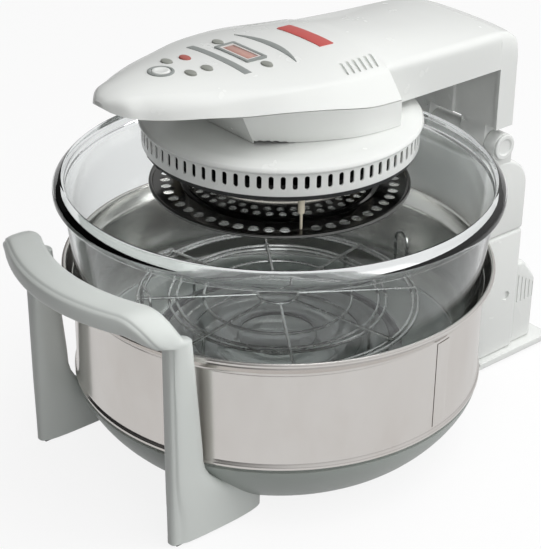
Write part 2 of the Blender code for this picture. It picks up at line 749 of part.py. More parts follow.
def make_rack():
    """Rings on crossed spokes with legs below and two lifting loops, all one welded grid."""
    floor_z = BOWL_UNDERSIDE + BOWL_WALL + SEAM
    grid_z = floor_z + RACK_LEG_HEIGHT
    pieces = []
    for radius in RACK_RADII:
        sides = 24 if radius == RACK_RADII[0] else 16
        places = [place for place, angle in ring_places(radius, grid_z, sides)]
        pieces.append(tube("ring", places, RACK_WIRE, cyclic=True))
    for place, angle in ring_places(RACK_RADII[0], grid_z + RACK_WIRE * 1.2, RACK_SPOKES, 11.0):
        inner = place * (RACK_HUB / RACK_RADII[0])
        inner.z = place.z
        pieces.append(tube("spoke", [inner, place], RACK_WIRE))
    hub = [place for place, angle in ring_places(RACK_HUB, grid_z + RACK_WIRE * 1.2, 12)]
    pieces.append(tube("hub", hub, RACK_WIRE, cyclic=True))
    for place, angle in ring_places(RACK_LEG_CIRCLE, floor_z, RACK_SPOKES // 2, 11.0):
        top = Vector((place.x, place.y, grid_z + RACK_WIRE * 1.2))
        pieces.append(tube("leg", [top, place], RACK_WIRE))
    for side, (place, angle) in enumerate(ring_places(RACK_RADII[0], grid_z, 2, RACK_LOOP_DEG)):
        across = Vector((-math.sin(angle), math.cos(angle), 0.0)) * RACK_LOOP_WIDTH / 2
        points = [place + across]
        for i in range(5):
            turn = math.pi * i / 4
            points.append(place + across * math.cos(turn)
                          + Vector((0, 0, RACK_LOOP_HEIGHT - RACK_LOOP_WIDTH / 2 * (1 - math.sin(turn)))))
        points.append(place - across)
        pieces.append(tube("loop", points, RACK_WIRE))
    grid = as_mesh(pieces[0])
    for number, piece in enumerate(pieces[1:]):
        boolean(grid, as_cutter(as_mesh(piece), f"rack_wire_{number}"), "UNION")
    keep(grid, "wire_rack", CHROME, "rack")


def handle_path():
    """Stations along the handle, from the right foot over the bar to the left foot.

    Each is a middle point, the direction across the section, its thickness, its front and its rear.
    """
    middle_x = HANDLE_HALF_WIDTH - HANDLE_LEG_WIDTH / 2
    top = HANDLE_TOP - HANDLE_BAR_THICKNESS / 2
    floor_z = HANDLE_PAD_THICKNESS + SEAM
    bar_front = HANDLE_FRONT - HANDLE_OVERHANG
    stations = []
    for share in (0.0, 0.34, 0.62, 0.82, 1.0):
        height = floor_z + (HANDLE_FOOT_HEIGHT + HANDLE_FOOT_TAPER - floor_z) * share
        blend = max(0.0, (height - HANDLE_FOOT_HEIGHT) / HANDLE_FOOT_TAPER)
        ease = 1 - (1 - blend) ** 3
        rear = HANDLE_FOOT_REAR + (HANDLE_FRONT + HANDLE_LEG_DEPTH - HANDLE_FOOT_REAR) * ease
        stations.append(((middle_x, height), 0.0, HANDLE_LEG_WIDTH, HANDLE_FRONT, rear))
    centre = (middle_x - HANDLE_BEND, top - HANDLE_BEND)
    for i in range(7):
        angle = math.radians(90 * i / 6)
        share = i / 6
        point = (centre[0] + HANDLE_BEND * math.cos(angle), centre[1] + HANDLE_BEND * math.sin(angle))
        thick = HANDLE_LEG_WIDTH + (HANDLE_BAR_THICKNESS - HANDLE_LEG_WIDTH) * share
        share = share ** HANDLE_LEAN_POWER
        front = HANDLE_FRONT + (bar_front - HANDLE_FRONT) * share
        depth = HANDLE_NECK_DEPTH + (HANDLE_BAR_DEPTH - HANDLE_NECK_DEPTH) * share
        stations.append((point, math.degrees(angle), thick, front, front + depth))
    for share in (0.66, 0.33, 0.0):
        bow = HANDLE_BOW * (1 - share ** 2)
        front = bar_front - bow
        rear = front + HANDLE_BAR_DEPTH
        stations.append(((centre[0] * share, top), 90.0, HANDLE_BAR_THICKNESS, front, rear))
    return stations


def handle_ring(station, side):
    """One rounded section of the handle, on the right (+1) or mirrored to the left (-1)."""
    (x, z), angle_deg, thick, front, rear = station
    angle = math.radians(angle_deg)
    across = Vector((math.cos(angle), 0.0, math.sin(angle)))
    ring = []
    for i in range(16):
        turn = 2 * math.pi * i / 16 + math.pi / 16
        c, s = math.cos(turn), math.sin(turn)
        power = 0.62 if s < 0 else 0.80
        out = math.copysign(abs(c) ** power, c) * thick / 2
        depth = (math.copysign(abs(s) ** power, s) + 1) / 2
        point = Vector((x, front + (rear - front) * depth, z)) + across * out
        ring.append((side * point.x, point.y, point.z))
    return ring


def make_handle():
    """The moulded front handle and its rubber pads."""
    half = handle_path()
    rings = [handle_ring(station, 1) for station in half]
    rings += [handle_ring(station, -1) for station in reversed(half[:-1])]
    handle = loft("handle", rings)
    boolean(handle, pan_room())
    keep(handle, "front_handle", GREY, "root", 50.0)
    for side in (-1, 1):
        outer = side * HANDLE_HALF_WIDTH
        inner = side * (HANDLE_HALF_WIDTH - HANDLE_LEG_WIDTH)
        inset = HANDLE_LEG_WIDTH / 4
        low = (min(outer, inner) + inset, HANDLE_FRONT + inset, 0.0)
        high = (max(outer, inner) - inset, HANDLE_FOOT_REAR - inset * 3, HANDLE_PAD_THICKNESS)
        keep(block("pad", low, high), "handle_pad_" + side_word(side), BLACK, "root")


def pan_room():
    """The pan's outer form with a gap round it."""
    outer = dish((PAN_FLOOR_RADIUS + SEAM, PAN_GROUND - SEAM), (PAN_RADIUS + SEAM, PAN_HEIGHT + SEAM),
                 PAN_ROUND_POWER, 4)
    profile = [(0.0, PAN_HEIGHT * 1.5), (PAN_RADIUS + SEAM, PAN_HEIGHT * 1.5)]
    profile += list(reversed(outer)) + [(0.0, PAN_GROUND - SEAM)]
    return as_cutter(turned("pan_room", profile, FINE_TURNS), "pan_room")


def side_word(side):
    """The word for +1 or -1 across."""
    return "right" if side > 0 else "left"


def column_outline(inset, low, high):
    """The column's side view in Y and Z, drawn in by a wall, with its rounded rear shoulder."""
    shoulder = (COLUMN_REAR - COLUMN_SHOULDER, COLUMN_TOP - COLUMN_SHOULDER)
    outline = [(COLUMN_FRONT + inset, low), (COLUMN_REAR - inset, low)]
    if high < COLUMN_TOP:
        return outline + [(COLUMN_REAR - inset, high), (COLUMN_FRONT + inset, high)]
    outline += arc(shoulder, COLUMN_SHOULDER - inset, 0, 90, 6)
    return outline + [(COLUMN_FRONT + inset, COLUMN_TOP - inset)]


def make_column():
    """The base with its tongue, the two casings of the column, and the ribbed back cover."""
    low = COLUMN_PAD_HEIGHT + SEAM
    tongue = PAN_GROUND - SEAM
    half = COLUMN_BASE_HALF_WIDTH
    outline = [(COLUMN_BASE_FRONT, low), (COLUMN_BASE_REAR, low), (COLUMN_BASE_REAR, COLUMN_BASE_HEIGHT),
               (COLUMN_FRONT, COLUMN_BASE_HEIGHT), (COLUMN_FRONT, tongue), (COLUMN_BASE_FRONT, tongue)]
    base = side_plate("base", outline, -half, half)
    keep(bevel(base, EDGE_BEVEL / 3, 1), "column_base", WHITE, "root")
    reach = half - EDGE_BEVEL
    for word, start in (("front", COLUMN_BASE_FRONT + EDGE_BEVEL),
                        ("rear", COLUMN_BASE_REAR - COLUMN_PAD_LENGTH - EDGE_BEVEL)):
        pad = block("pad", (-reach, start, 0.0), (reach, start + COLUMN_PAD_LENGTH, COLUMN_PAD_HEIGHT))
        keep(pad, "column_pad_" + word, BLACK, "root")
    half = COLUMN_HALF_WIDTH
    start = COLUMN_BASE_HEIGHT + SEAM
    lower = side_plate("lower", column_outline(0.0, start, COLUMN_SPLIT), -half, half)
    bevel(lower, EDGE_BEVEL, 2, 80)
    hollow = side_plate("hollow", column_outline(COLUMN_WALL, start - OVERRUN, COLUMN_SPLIT + OVERRUN),
                        COLUMN_WALL - half, half - COLUMN_WALL)
    boolean(lower, as_cutter(hollow, "lower_hollow"))
    keep(lower, "column_lower_casing", WHITE, "root")
    start = COLUMN_SPLIT + SEAM
    upper = side_plate("upper", column_outline(0.0, start, COLUMN_TOP), -half, half)
    bevel(upper, EDGE_BEVEL, 2, 80)
    hollow = side_plate("hollow", column_outline(COLUMN_WALL, start - OVERRUN, COLUMN_TOP),
                        COLUMN_WALL - half, half - COLUMN_WALL)
    boolean(upper, as_cutter(hollow, "upper_hollow"))
    for side in (-1, 1):
        boolean(upper, as_cutter(hinge_ear(side), "ear_" + side_word(side)), "UNION")
    bore = drum("bore", HINGE_PIN_RADIUS + SEAM, half * 4, (0.0, HINGE_Y, HINGE_Z), "X")
    boolean(upper, as_cutter(bore, "pin_bore"))
    keep(upper, "column_upper_casing", WHITE, "root")
    make_back_cover()


def hinge_ear(side):
    """One ear of the hinge, rounded over the pin, its foot down in the casing's top."""
    foot = COLUMN_TOP - COLUMN_WALL * 0.75
    outline = [(HINGE_Y - HINGE_BOSS_RADIUS, foot), (HINGE_Y + HINGE_BOSS_RADIUS, foot)]
    outline += arc((HINGE_Y, HINGE_Z), HINGE_BOSS_RADIUS, 0, 180, 12)
    outer = side * (COLUMN_HALF_WIDTH - SEAM)
    inner = side * (COLUMN_HALF_WIDTH - HINGE_EAR_WIDTH)
    return side_plate("ear", outline, min(outer, inner), max(outer, inner))


def make_back_cover():
    """The hollow cover behind the column with upright ribs at its top, and the cord's inlet in it."""
    low = COLUMN_BASE_HEIGHT + SEAM
    front = COLUMN_REAR + SEAM
    half = COLUMN_HALF_WIDTH - EDGE_BEVEL
    slope = (BACK_BULGE_REAR - front) * 0.8
    outline = [(front, low), (BACK_BULGE_REAR, low), (BACK_BULGE_REAR, BACK_BULGE_TOP - slope),
               (front + slope * 0.5, BACK_BULGE_TOP), (front, BACK_BULGE_TOP)]
    cover = side_plate("cover", outline, -half, half)
    bevel(cover, EDGE_BEVEL, 2, 25)
    wall = COLUMN_WALL
    deep = BACK_BULGE_REAR - wall
    roof = BACK_BULGE_TOP - wall
    inner = [(front - OVERRUN, low + wall), (deep, low + wall), (deep, roof - slope),
             (front + slope * 0.5 - wall, roof), (front - OVERRUN, roof)]
    boolean(cover, as_cutter(side_plate("cover_hollow", inner, wall - half, half - wall), "back_hollow"))
    for side in (-1, 1):
        for i in range(BACK_RIB_COUNT):
            y = front + EDGE_BEVEL + BACK_RIB_WIDTH * 1.6 * i
            high = BACK_BULGE_TOP * 0.86 - i * BACK_RIB_WIDTH
            groove = block("groove", (side * half - BACK_RIB_DEPTH, y, BACK_BULGE_TOP * 0.55),
                           (side * half + BACK_RIB_DEPTH, y + BACK_RIB_WIDTH * 0.7, high))
            boolean(cover, as_cutter(groove, f"groove_{side_word(side)}_{i}"))
    place = (0.0, BACK_BULGE_REAR, INLET_HEIGHT)
    room = drum("inlet_room", INLET_RADIUS + SEAM, OVERRUN * 3, place, "Y")
    boolean(cover, as_cutter(room, "inlet_room"))
    keep(cover, "column_back_cover", WHITE, "root")
    gland = drum("gland", INLET_RADIUS, INLET_LENGTH, place, "Y")
    bore = drum("inlet_bore", INLET_BORE, INLET_LENGTH * 2, place, "Y", 12)
    boolean(gland, as_cutter(bore, "inlet_bore"))
    keep(gland, "cord_inlet_bush", BLACK, "root")


def make_hinge():
    """The pin with its end caps, and the spring and its sleeve on the pin."""
    centre = (0.0, HINGE_Y, HINGE_Z)
    pin = drum("pin", HINGE_PIN_RADIUS, (COLUMN_HALF_WIDTH - SEAM) * 2, centre, "X")
    keep(pin, "hinge_pin", STEEL, "root")
    for side in (-1, 1):
        x = side * (COLUMN_HALF_WIDTH + HINGE_CAP_THICKNESS / 2)
        cap = drum("cap", HINGE_BOSS_RADIUS - SEAM, HINGE_CAP_THICKNESS, (x, HINGE_Y, HINGE_Z), "X")
        keep(bevel(cap, HINGE_CAP_THICKNESS / 3, 1), "hinge_cap_" + side_word(side), WHITE, "root")
    for name, radius, bore, length, finish in (
            ("hinge_spring", HINGE_SLEEVE_RADIUS - HINGE_SLEEVE_WALL - SEAM, HINGE_PIN_RADIUS + SEAM,
             HINGE_HUB_HALF_WIDTH * 1.8, STEEL),
            ("hinge_sleeve", HINGE_SLEEVE_RADIUS, HINGE_SLEEVE_RADIUS - HINGE_SLEEVE_WALL,
             HINGE_HUB_HALF_WIDTH * 2 - SEAM * 2, WHITE)):
        ring = drum(name, radius, length, centre, "X")
        boolean(ring, as_cutter(drum(name + "_bore", bore, length * 2, centre, "X"), name + "_bore"))
        keep(ring, name, finish, "root")


def hinge_lug(side):
    """One lug of the arm, round the pin beside the hinge's ear, its top inside the leg."""
    near = side * (HINGE_HUB_HALF_WIDTH + SEAM)
    far = side * (COLUMN_HALF_WIDTH - HINGE_EAR_WIDTH - SEAM * 2)
    high = LEG_LOW + LUG_REACH
    front = LEG_FRONT + LEG_PANEL_SETBACK
    outline = [(front, high), (front, LEG_LOW + SEAM * 2)]
    outline += arc((HINGE_Y, HINGE_Z), HINGE_BARREL_RADIUS, 165, 375, 12)
    outline += [(HINGE_Y + LUG_HALF, LEG_LOW - RUNNING), (HINGE_Y + LUG_HALF, high)]
    return side_plate("lug", outline, min(near, far), max(near, far))


def arm_stations():
    """Rows along the arm: place in Y, low half width and height, wide half width and height, top height."""
    rows = []
    for reach, low_w, low_z, wide_w, wide_z, top in ARM_NOSE_SHARES:
        y = ARM_NOSE + (BELLY_REAR - ARM_NOSE) * reach
        rows.append((y, BELLY_HALF_WIDTH * low_w, ARM_LOW + ARM_HEIGHT * low_z,
                     BELLY_HALF_WIDTH * wide_w, ARM_LOW + ARM_HEIGHT * wide_z, ARM_LOW + ARM_HEIGHT * top))
    start = BELLY_REAR + BELLY_STEP
    for reach, wide_w, wide_z, top in ARM_REAR_SHARES:
        y = start + (LEG_FRONT - start) * reach / ARM_REAR_SHARES[-1][0]
        rows.append((y, ARM_HALF_WIDTH, ARM_LOW,
                     ARM_HALF_WIDTH * wide_w, ARM_LOW + ARM_HEIGHT * wide_z, ARM_LOW + ARM_HEIGHT * top))
    last = rows[-1]
    rows.append((LEG_FRONT + SEAM, ARM_HALF_WIDTH, LEG_LOW, *last[3:]))
    for reach, wide_z, top in ARM_END_SHARES:
        y = LEG_FRONT + (ARM_REAR - LEG_FRONT) * reach
        rows.append((y, ARM_HALF_WIDTH, LEG_LOW,
                     last[3], ARM_LOW + ARM_HEIGHT * wide_z, ARM_LOW + ARM_HEIGHT * top))
    return rows


def arm_row(y):
    """The station at a place along the arm, mixed from its neighbours."""
    rows = arm_stations()
    for near, far in zip(rows, rows[1:]):
        if y <= far[0]:
            share = max(0.0, (y - near[0]) / (far[0] - near[0]))
            return tuple(a + (b - a) * share for a, b in zip(near, far))
    return rows[-1]


def arm_top(x, y):
    """The height of the arm's outer surface over a place."""
    wide_w, wide_z, top = arm_row(y)[3:]
    share = min(1.0, abs(x) / wide_w)
    return wide_z + (top - wide_z) * (1 - share ** ARM_CROWN_POWER)


def arm_inside():
    """The stations of the arm's hollow: a wall inside the outer ones, and open below."""
    wall = ARM_WALL
    outside = arm_stations()
    belly = len(ARM_NOSE_SHARES)
    leg = belly + len(ARM_REAR_SHARES)
    places = {0: ARM_NOSE + wall, belly - 1: BELLY_REAR - wall, len(outside) - 1: ARM_REAR - wall}
    shifted = {belly: BELLY_REAR - wall + SEAM, leg - 1: LEG_FRONT - RUNNING * 2, leg: LEG_FRONT - RUNNING}
    rows = []
    for number, row in enumerate(outside):
        y, low_w, low_z, wide_w, wide_z, top = row
        if number in places:
            y = places[number]
            low_w, low_z, wide_w, wide_z, top = arm_row(y)[1:]
        y = shifted.get(number, y)
        rows.append((y, low_w - wall, low_z - OVERRUN, wide_w - wall, wide_z - wall / 2, top - wall))
    return rows


def arm_section(row):
    """The arm's section: up one side, over the crowned top and down the other side."""
    y, low_w, low_z, wide_w, wide_z, top = row
    half = [(low_w, low_z), (wide_w, wide_z)]
    for i in range(1, 7):
        share = math.cos(math.pi / 2 * i / 7)
        half.append((wide_w * share, wide_z + (top - wide_z) * (1 - share ** ARM_CROWN_POWER)))
    section = [(x, y, z) for x, z in half] + [(0.0, y, top)]
    return section + [(-x, y, z) for x, z in reversed(half)]


def make_arm():
    """The arm's shell with its key holes and vents, the plate under it, and the leg's front panel."""
    shell = loft("arm", [arm_section(row) for row in arm_stations()])
    hollow = loft("arm_hollow", [arm_section(row) for row in arm_inside()])
    boolean(shell, as_cutter(hollow, "arm_hollow"))
    for name, (x, y, tint) in BUTTON_PLACES.items():
        top = arm_top(x, y)
        hole = oval("hole", x, y, SEAM, top - OVERRUN, top + OVERRUN)
        boolean(shell, as_cutter(hole, "hole_" + name))
    top = arm_top(0.0, START_Y)
    hole = drum("hole", START_RADIUS + SEAM, OVERRUN * 2, (0.0, START_Y, top))
    boolean(shell, as_cutter(hole, "start_hole"))
    top = arm_top(0.0, DISPLAY_Y)
    half = (DISPLAY_LENGTH / 2 - DISPLAY_FRAME, DISPLAY_DEPTH / 2 - DISPLAY_FRAME)
    window = block("window", (-half[0], DISPLAY_Y - half[1], top - OVERRUN),
                   (half[0], DISPLAY_Y + half[1], top + OVERRUN))
    boolean(shell, as_cutter(window, "window_hole"))
    slots = []
    for side in (-1, 1):
        for i in range(VENT_COUNT):
            y = VENT_START + VENT_PITCH * i
            x = side * (arm_row(y)[3] - VENT_EDGE - VENT_LENGTH / 2)
            slot = block("vent", (-VENT_LENGTH / 2, -VENT_WIDTH / 2, -OVERRUN * 2),
                         (VENT_LENGTH / 2, VENT_WIDTH / 2, OVERRUN * 2))
            slot.matrix_basis = Matrix.Translation((x, y, arm_top(x, y)))
            slot.matrix_basis @= Matrix.Rotation(math.radians(-side * VENT_SLANT_DEG), 4, "Z")
            slots.append(slot)
    boolean(shell, as_cutter(join("vents", slots), "arm_vents"))
    keep(shell, "arm_cover", WHITE, "lid", 40.0)
    make_under_cover()
    make_leg_panel()


def make_under_cover():
    """The plate that closes the arm's underside, with the motor's opening and the board's pillars."""
    belly = len(ARM_NOSE_SHARES) - 1
    inside = arm_inside()[:belly + 2]
    rows = []
    for y, low_w, low_z, wide_w, wide_z, _ in inside:
        lean = (low_w - wide_w) / (wide_z - low_z)
        low = low_w - SEAM * 2 - (OVERRUN + SEAM) * lean
        rows.append((y, low, low - UNDER_SHEET * lean, low_z + OVERRUN + SEAM))
    high = rows[belly][3]
    narrow = inside[belly + 1][1] - SEAM * 2
    step = rows[belly][0] - SEAM
    stations = rows[1:belly] + [(step - SEAM, *rows[belly][1:])]
    stations += [(step, narrow, narrow, high), (BELLY_REAR + SEAM, narrow, narrow, high)]
    stations += [(y, narrow, narrow, ARM_LOW + SEAM) for y in (BELLY_REAR + SEAM + UNDER_DROP, LEG_FRONT)]
    rings = []
    for y, low, top, z in stations:
        rings.append([(-low, y, z), (low, y, z), (top, y, z + UNDER_SHEET), (-top, y, z + UNDER_SHEET)])
    under = loft("under", rings)
    hole = drum("motor_hole", MOTOR_BRACKET_HALF + RUNNING * 2, OVERRUN * 20, (0.0, 0.0, ARM_LOW))
    boolean(under, as_cutter(hole, "motor_hole"))
    for x in (-1, 1):
        for y in (BOARD_FRONT, BOARD_REAR):
            at_y = y + (PILLAR_RADIUS * 2 if y == BOARD_FRONT else -PILLAR_RADIUS * 2)
            at_x = x * (BOARD_HALF_WIDTH - PILLAR_RADIUS * 2) * (0.72 if y == BOARD_FRONT else 1.0)
            low = arm_row(at_y)[2] + UNDER_SHEET / 2
            high = board_top() - BOARD_THICKNESS - SEAM
            pillar = drum("pillar", PILLAR_RADIUS, high - low, (at_x, at_y, (high + low) / 2), "Z", 8)
            word = "front" if y == BOARD_FRONT else "rear"
            boolean(under, as_cutter(pillar, f"pillar_{word}_{side_word(x)}"), "UNION")
    keep(under, "arm_under_cover", WHITE, "lid")


def make_leg_panel():
    """The set-back front panel of the arm's leg, its raised middle and the two lugs on the pin."""
    front = LEG_FRONT + LEG_PANEL_SETBACK
    low = LEG_LOW + SEAM
    high = ARM_LOW + UNDER_SHEET
    _, low_w, low_z, wide_w, wide_z, _ = arm_inside()[-1]
    half = low_w - (high - low_z) * (low_w - wide_w) / (wide_z - low_z) - SEAM
    panel = block("panel", (-half, front, low), (half, front + UNDER_SHEET, high))
    middle = LEG_RIB_HALF_WIDTH
    rib = block("rib", (-middle, front - LEG_RIB_DEPTH, low + SEAM),
                (middle, front + UNDER_SHEET / 2, ARM_LOW - SEAM))
    boolean(panel, as_cutter(rib, "leg_rib"), "UNION")
    for side in (-1, 1):
        boolean(panel, as_cutter(hinge_lug(side), "lug_" + side_word(side)), "UNION")
    pin_room = drum("pin_room", HINGE_PIN_RADIUS + SEAM, half * 4, (0.0, HINGE_Y, HINGE_Z), "X")
    boolean(panel, as_cutter(pin_room, "lug_bore"))
    keep(panel, "arm_leg_panel", WHITE, "lid")


def board_top():
    """The height of the board's upper face."""
    return ARM_LOW + ARM_HEIGHT - BOARD_DROP


def oval(name, x, y, gap, low, high):
    """An upright oval key form with a gap round it."""
    key = drum(name, 1.0, high - low, (x, y, (low + high) / 2), "Z", 12)
    key.data.transform(Matrix.Diagonal((BUTTON_LONG / 2 + gap, BUTTON_SHORT / 2 + gap, 1.0, 1.0)))
    return key


def make_keys():
    """The six oval keys and the round start key, flanged under the shell, and the start ring."""
    foot = board_top() + BUTTON_TRAVEL + SEAM
    flange = foot + BUTTON_FLANGE
    for name, (x, y, tint) in BUTTON_PLACES.items():
        AXES[name] = new_axis(name + "_axis", AXES["lid"], (x, y, arm_top(x, y)))
        key = oval(name, x, y, 0.0, foot, arm_top(x, y) + BUTTON_PROUD)
        bevel(key, BUTTON_FLANGE / 2, 2, 60)
        wide = oval(name + "_flange", x, y, BUTTON_FLANGE, foot, flange)
        boolean(key, as_cutter(wide, name + "_foot"), "UNION")
        keep(key, name, KEY_RED if tint == "red" else KEY_GREY, name)
    top = arm_top(0.0, START_Y)
    AXES["start_button"] = new_axis("start_button_axis", AXES["lid"], (0.0, START_Y, top))
    high = top + BUTTON_PROUD
    key = drum("start", START_RADIUS, high - foot, (0.0, START_Y, (high + foot) / 2))
    bevel(key, BUTTON_FLANGE / 2, 2, 60)
    middle = (0.0, START_Y, (foot + flange) / 2)
    wide = drum("start_foot", START_RADIUS + BUTTON_FLANGE, BUTTON_FLANGE, middle)
    boolean(key, as_cutter(wide, "start_flange"), "UNION")
    keep(key, "start_button", WHITE, "start_button")
    inner = START_RADIUS + SEAM * 2
    outer = inner + START_RING_WIDTH
    low = top + SEAM
    ring = [(inner, low + INLAY), ((inner + outer) / 2, low + INLAY * 1.5), (outer, low + INLAY)]
    ring += [(outer, low), (inner, low)]
    trim = turned("ring", ring, SMALL_TURNS, closed=True, at=(0.0, START_Y, 0.0))
    keep(trim, "start_ring", STEEL, "lid")


def inlay(name, edges, half, count, finish):
    """A thin strip that follows the arm's crown; edges gives its front and rear for a place across."""
    rings = []
    for i in range(count + 1):
        x = -half + 2 * half * i / count
        front, rear = edges(x)
        near, far = arm_top(x, front) + SEAM, arm_top(x, rear) + SEAM
        rings.append([(x, front, near), (x, rear, far), (x, rear, far + INLAY), (x, front, near + INLAY)])
    return keep(loft(name, rings), name, finish, "lid")


def make_panel():
    """What lies on the arm's top, from the stripe to the display, and the board below."""
    def straight(middle, depth):
        """The edges of an even strip."""
        return lambda x: (middle - depth / 2, middle + depth / 2)

    def crescent(x):
        """The edges of a bow that meet at its ends."""
        share = 1 - (2 * x / CRESCENT_LENGTH) ** 2
        middle = CRESCENT_Y - CRESCENT_SAG * (1 - share)
        return middle - CRESCENT_DEPTH / 2 * share - INLAY, middle + CRESCENT_DEPTH / 2 * share + INLAY

    inlay("panel_stripe", straight(STRIPE_Y, STRIPE_DEPTH), STRIPE_LENGTH / 2, 8, DARK_GREY)
    inlay("panel_crescent", crescent, CRESCENT_LENGTH / 2, 14, DARK_GREY)
    inlay("bare_badge_plate", straight(PLATE_Y, PLATE_DEPTH), PLATE_LENGTH / 2, 6, KEY_RED)
    low = arm_top(0.0, DISPLAY_Y) + SEAM
    half = (DISPLAY_LENGTH / 2, DISPLAY_DEPTH / 2)
    frame = block("frame", (-half[0], DISPLAY_Y - half[1], low),
                  (half[0], DISPLAY_Y + half[1], low + INLAY * 1.5))
    inner = (half[0] - DISPLAY_FRAME, half[1] - DISPLAY_FRAME)
    room = block("frame_room", (-inner[0], DISPLAY_Y - inner[1], low - OVERRUN),
                 (inner[0], DISPLAY_Y + inner[1], low + OVERRUN))
    boolean(frame, as_cutter(room, "display_hole"))
    keep(frame, "display_frame", DARK_GREY, "lid")
    gap = DISPLAY_WINDOW_INSET
    window = block("window", (gap - inner[0], DISPLAY_Y - inner[1] + gap, board_top() + SEAM),
                   (inner[0] - gap, DISPLAY_Y + inner[1] - gap, low + INLAY))
    keep(window, "display_module", SMOKE, "lid")
    board = block("board", (-BOARD_HALF_WIDTH, BOARD_FRONT, board_top() - BOARD_THICKNESS),
                  (BOARD_HALF_WIDTH, BOARD_REAR, board_top()))
    narrow = BOARD_HALF_WIDTH * 0.28
    for side in (-1, 1):
        edge = side * BOARD_HALF_WIDTH
        corner = block("corner", (edge - narrow, BOARD_FRONT - OVERRUN, board_top() - OVERRUN),
                       (edge + narrow, (BOARD_FRONT + BOARD_REAR) / 2, board_top() + OVERRUN))
        boolean(board, as_cutter(corner, "board_corner_" + side_word(side)))
    keep(board, "control_board", BOARD_GREEN, "lid")


def housing_rings(inset, overrun):
    """Upright sections of the motor's housing from front to rear, drawn in by a wall and out in height."""
    front = MOTOR_HOUSING_FRONT - MOTOR_HOUSING_SLANT
    low = HEAD_TOP + SEAM - overrun
    belly = arm_stations()[:len(ARM_NOSE_SHARES)]
    rows = [arm_row(front)] + [row for row in belly if row[0] > front]
    shifts = [inset] + [0.0] * (len(rows) - 2) + [-inset]
    rings = []
    for (y, w, z), shift in zip((row[:3] for row in rows), shifts):
        ahead = max(0.0, (BELLY_REAR - y) / (BELLY_REAR - front))
        foot = w * (1 - HOUSING_NECK_SHARE * ahead ** HOUSING_NECK_POWER_SHARE) - inset
        head = w - inset
        high = z - SEAM * 2 + overrun
        near, far = y + MOTOR_HOUSING_SLANT * ahead + shift, y + shift
        rings.append([(-foot, near, low), (foot, near, low), (head, far, high), (-head, far, high)])
    return rings


def make_motor_housing():
    """The skirt between the arm and the head, its front wall slanted, open above and below."""
    skirt = loft("skirt", housing_rings(0.0, 0.0))
    hollow = loft("skirt_hollow", housing_rings(ARM_WALL, OVERRUN))
    boolean(skirt, as_cutter(hollow, "skirt_hollow"))
    keep(skirt, "motor_housing", WHITE, "lid", 30.0)


def make_head():
    """The dome, the slotted ring and its flange, the seal, and the reflector under the dome."""
    sheet = HEAD_SHEET
    low = HEAD_BAND_HIGH + SEAM
    edge = (HEAD_TOP - low) * 0.5
    flat = HEAD_SHOULDER - edge * 3
    outer = [(HEAD_BORE_RADIUS, HEAD_TOP), (flat, HEAD_TOP), (flat + edge * 1.7, HEAD_TOP - edge * 0.35)]
    outer += [(HEAD_SHOULDER - edge * 0.3, HEAD_TOP - edge), (HEAD_SHOULDER, low + edge * 0.6), (HEAD_RADIUS, low)]
    inner = [(HEAD_RADIUS - sheet * 2, low), (HEAD_SHOULDER - sheet * 3, HEAD_TOP - edge - sheet),
             (flat, HEAD_TOP - sheet * 1.4), (HEAD_BORE_RADIUS, HEAD_TOP - sheet * 1.4)]
    keep(turned("dome", outer + inner, FINE_TURNS, closed=True), "head_dome", WHITE, "lid")
    r, flange = HEAD_RADIUS, HEAD_RADIUS - HEAD_FLANGE
    band = [(r - sheet, HEAD_BAND_HIGH), (r, HEAD_BAND_HIGH), (r, HEAD_BAND_LOW), (flange, HEAD_BAND_LOW),
            (flange, HEAD_BAND_LOW + sheet), (r - sheet, HEAD_BAND_LOW + sheet)]
    ring = turned("band", band, SLOT_COUNT, closed=True)
    slots = []
    slot_low = HEAD_BAND_HIGH - RUNNING * 1.5 - SLOT_HEIGHT
    slot_middle = slot_low + SLOT_HEIGHT / 2
    for place, angle in ring_places(HEAD_RADIUS, slot_middle, SLOT_COUNT, 180 / SLOT_COUNT):
        slot = block("slot", (-sheet * 3, -SLOT_WIDTH / 2, -SLOT_HEIGHT / 2),
                     (sheet * 2, SLOT_WIDTH / 2, SLOT_HEIGHT / 2))
        slot.matrix_basis = Matrix.Translation(place) @ Matrix.Rotation(angle, 4, "Z")
        slots.append(slot)
    boolean(ring, as_cutter(join("slots", slots), "head_slots"))
    keep(ring, "head_slot_ring", WHITE, "lid")
    top = HEAD_BAND_LOW - SEAM
    seal = [(r - HEAD_SEAL_WIDTH, top), (r - sheet, top), (r - sheet * 1.5, top - HEAD_SEAL_HEIGHT),
            (r - HEAD_SEAL_WIDTH, top - HEAD_SEAL_HEIGHT)]
    keep(turned("seal", seal, TURNS, closed=True), "head_seal", BLACK, "lid")
    base = HEAD_BAND_LOW + sheet + SEAM
    lip = HEAD_RADIUS - HEAD_SHEET * 2
    high = base + REFLECTOR_HEIGHT
    inner_r = REFLECTOR_RADIUS - sheet
    pan = [(HEAD_BORE_RADIUS, high), (REFLECTOR_RADIUS, high), (REFLECTOR_RADIUS + sheet, base + sheet)]
    pan += [(lip, base + sheet), (lip, base), (REFLECTOR_RADIUS, base), (inner_r, high - sheet)]
    pan += [(HEAD_BORE_RADIUS, high - sheet)]
    keep(turned("reflector", pan, TURNS, closed=True), "head_reflector", STEEL, "lid")


def reflector_underside():
    """The height that the posts reach up to."""
    return HEAD_BAND_LOW + SEAM + REFLECTOR_HEIGHT


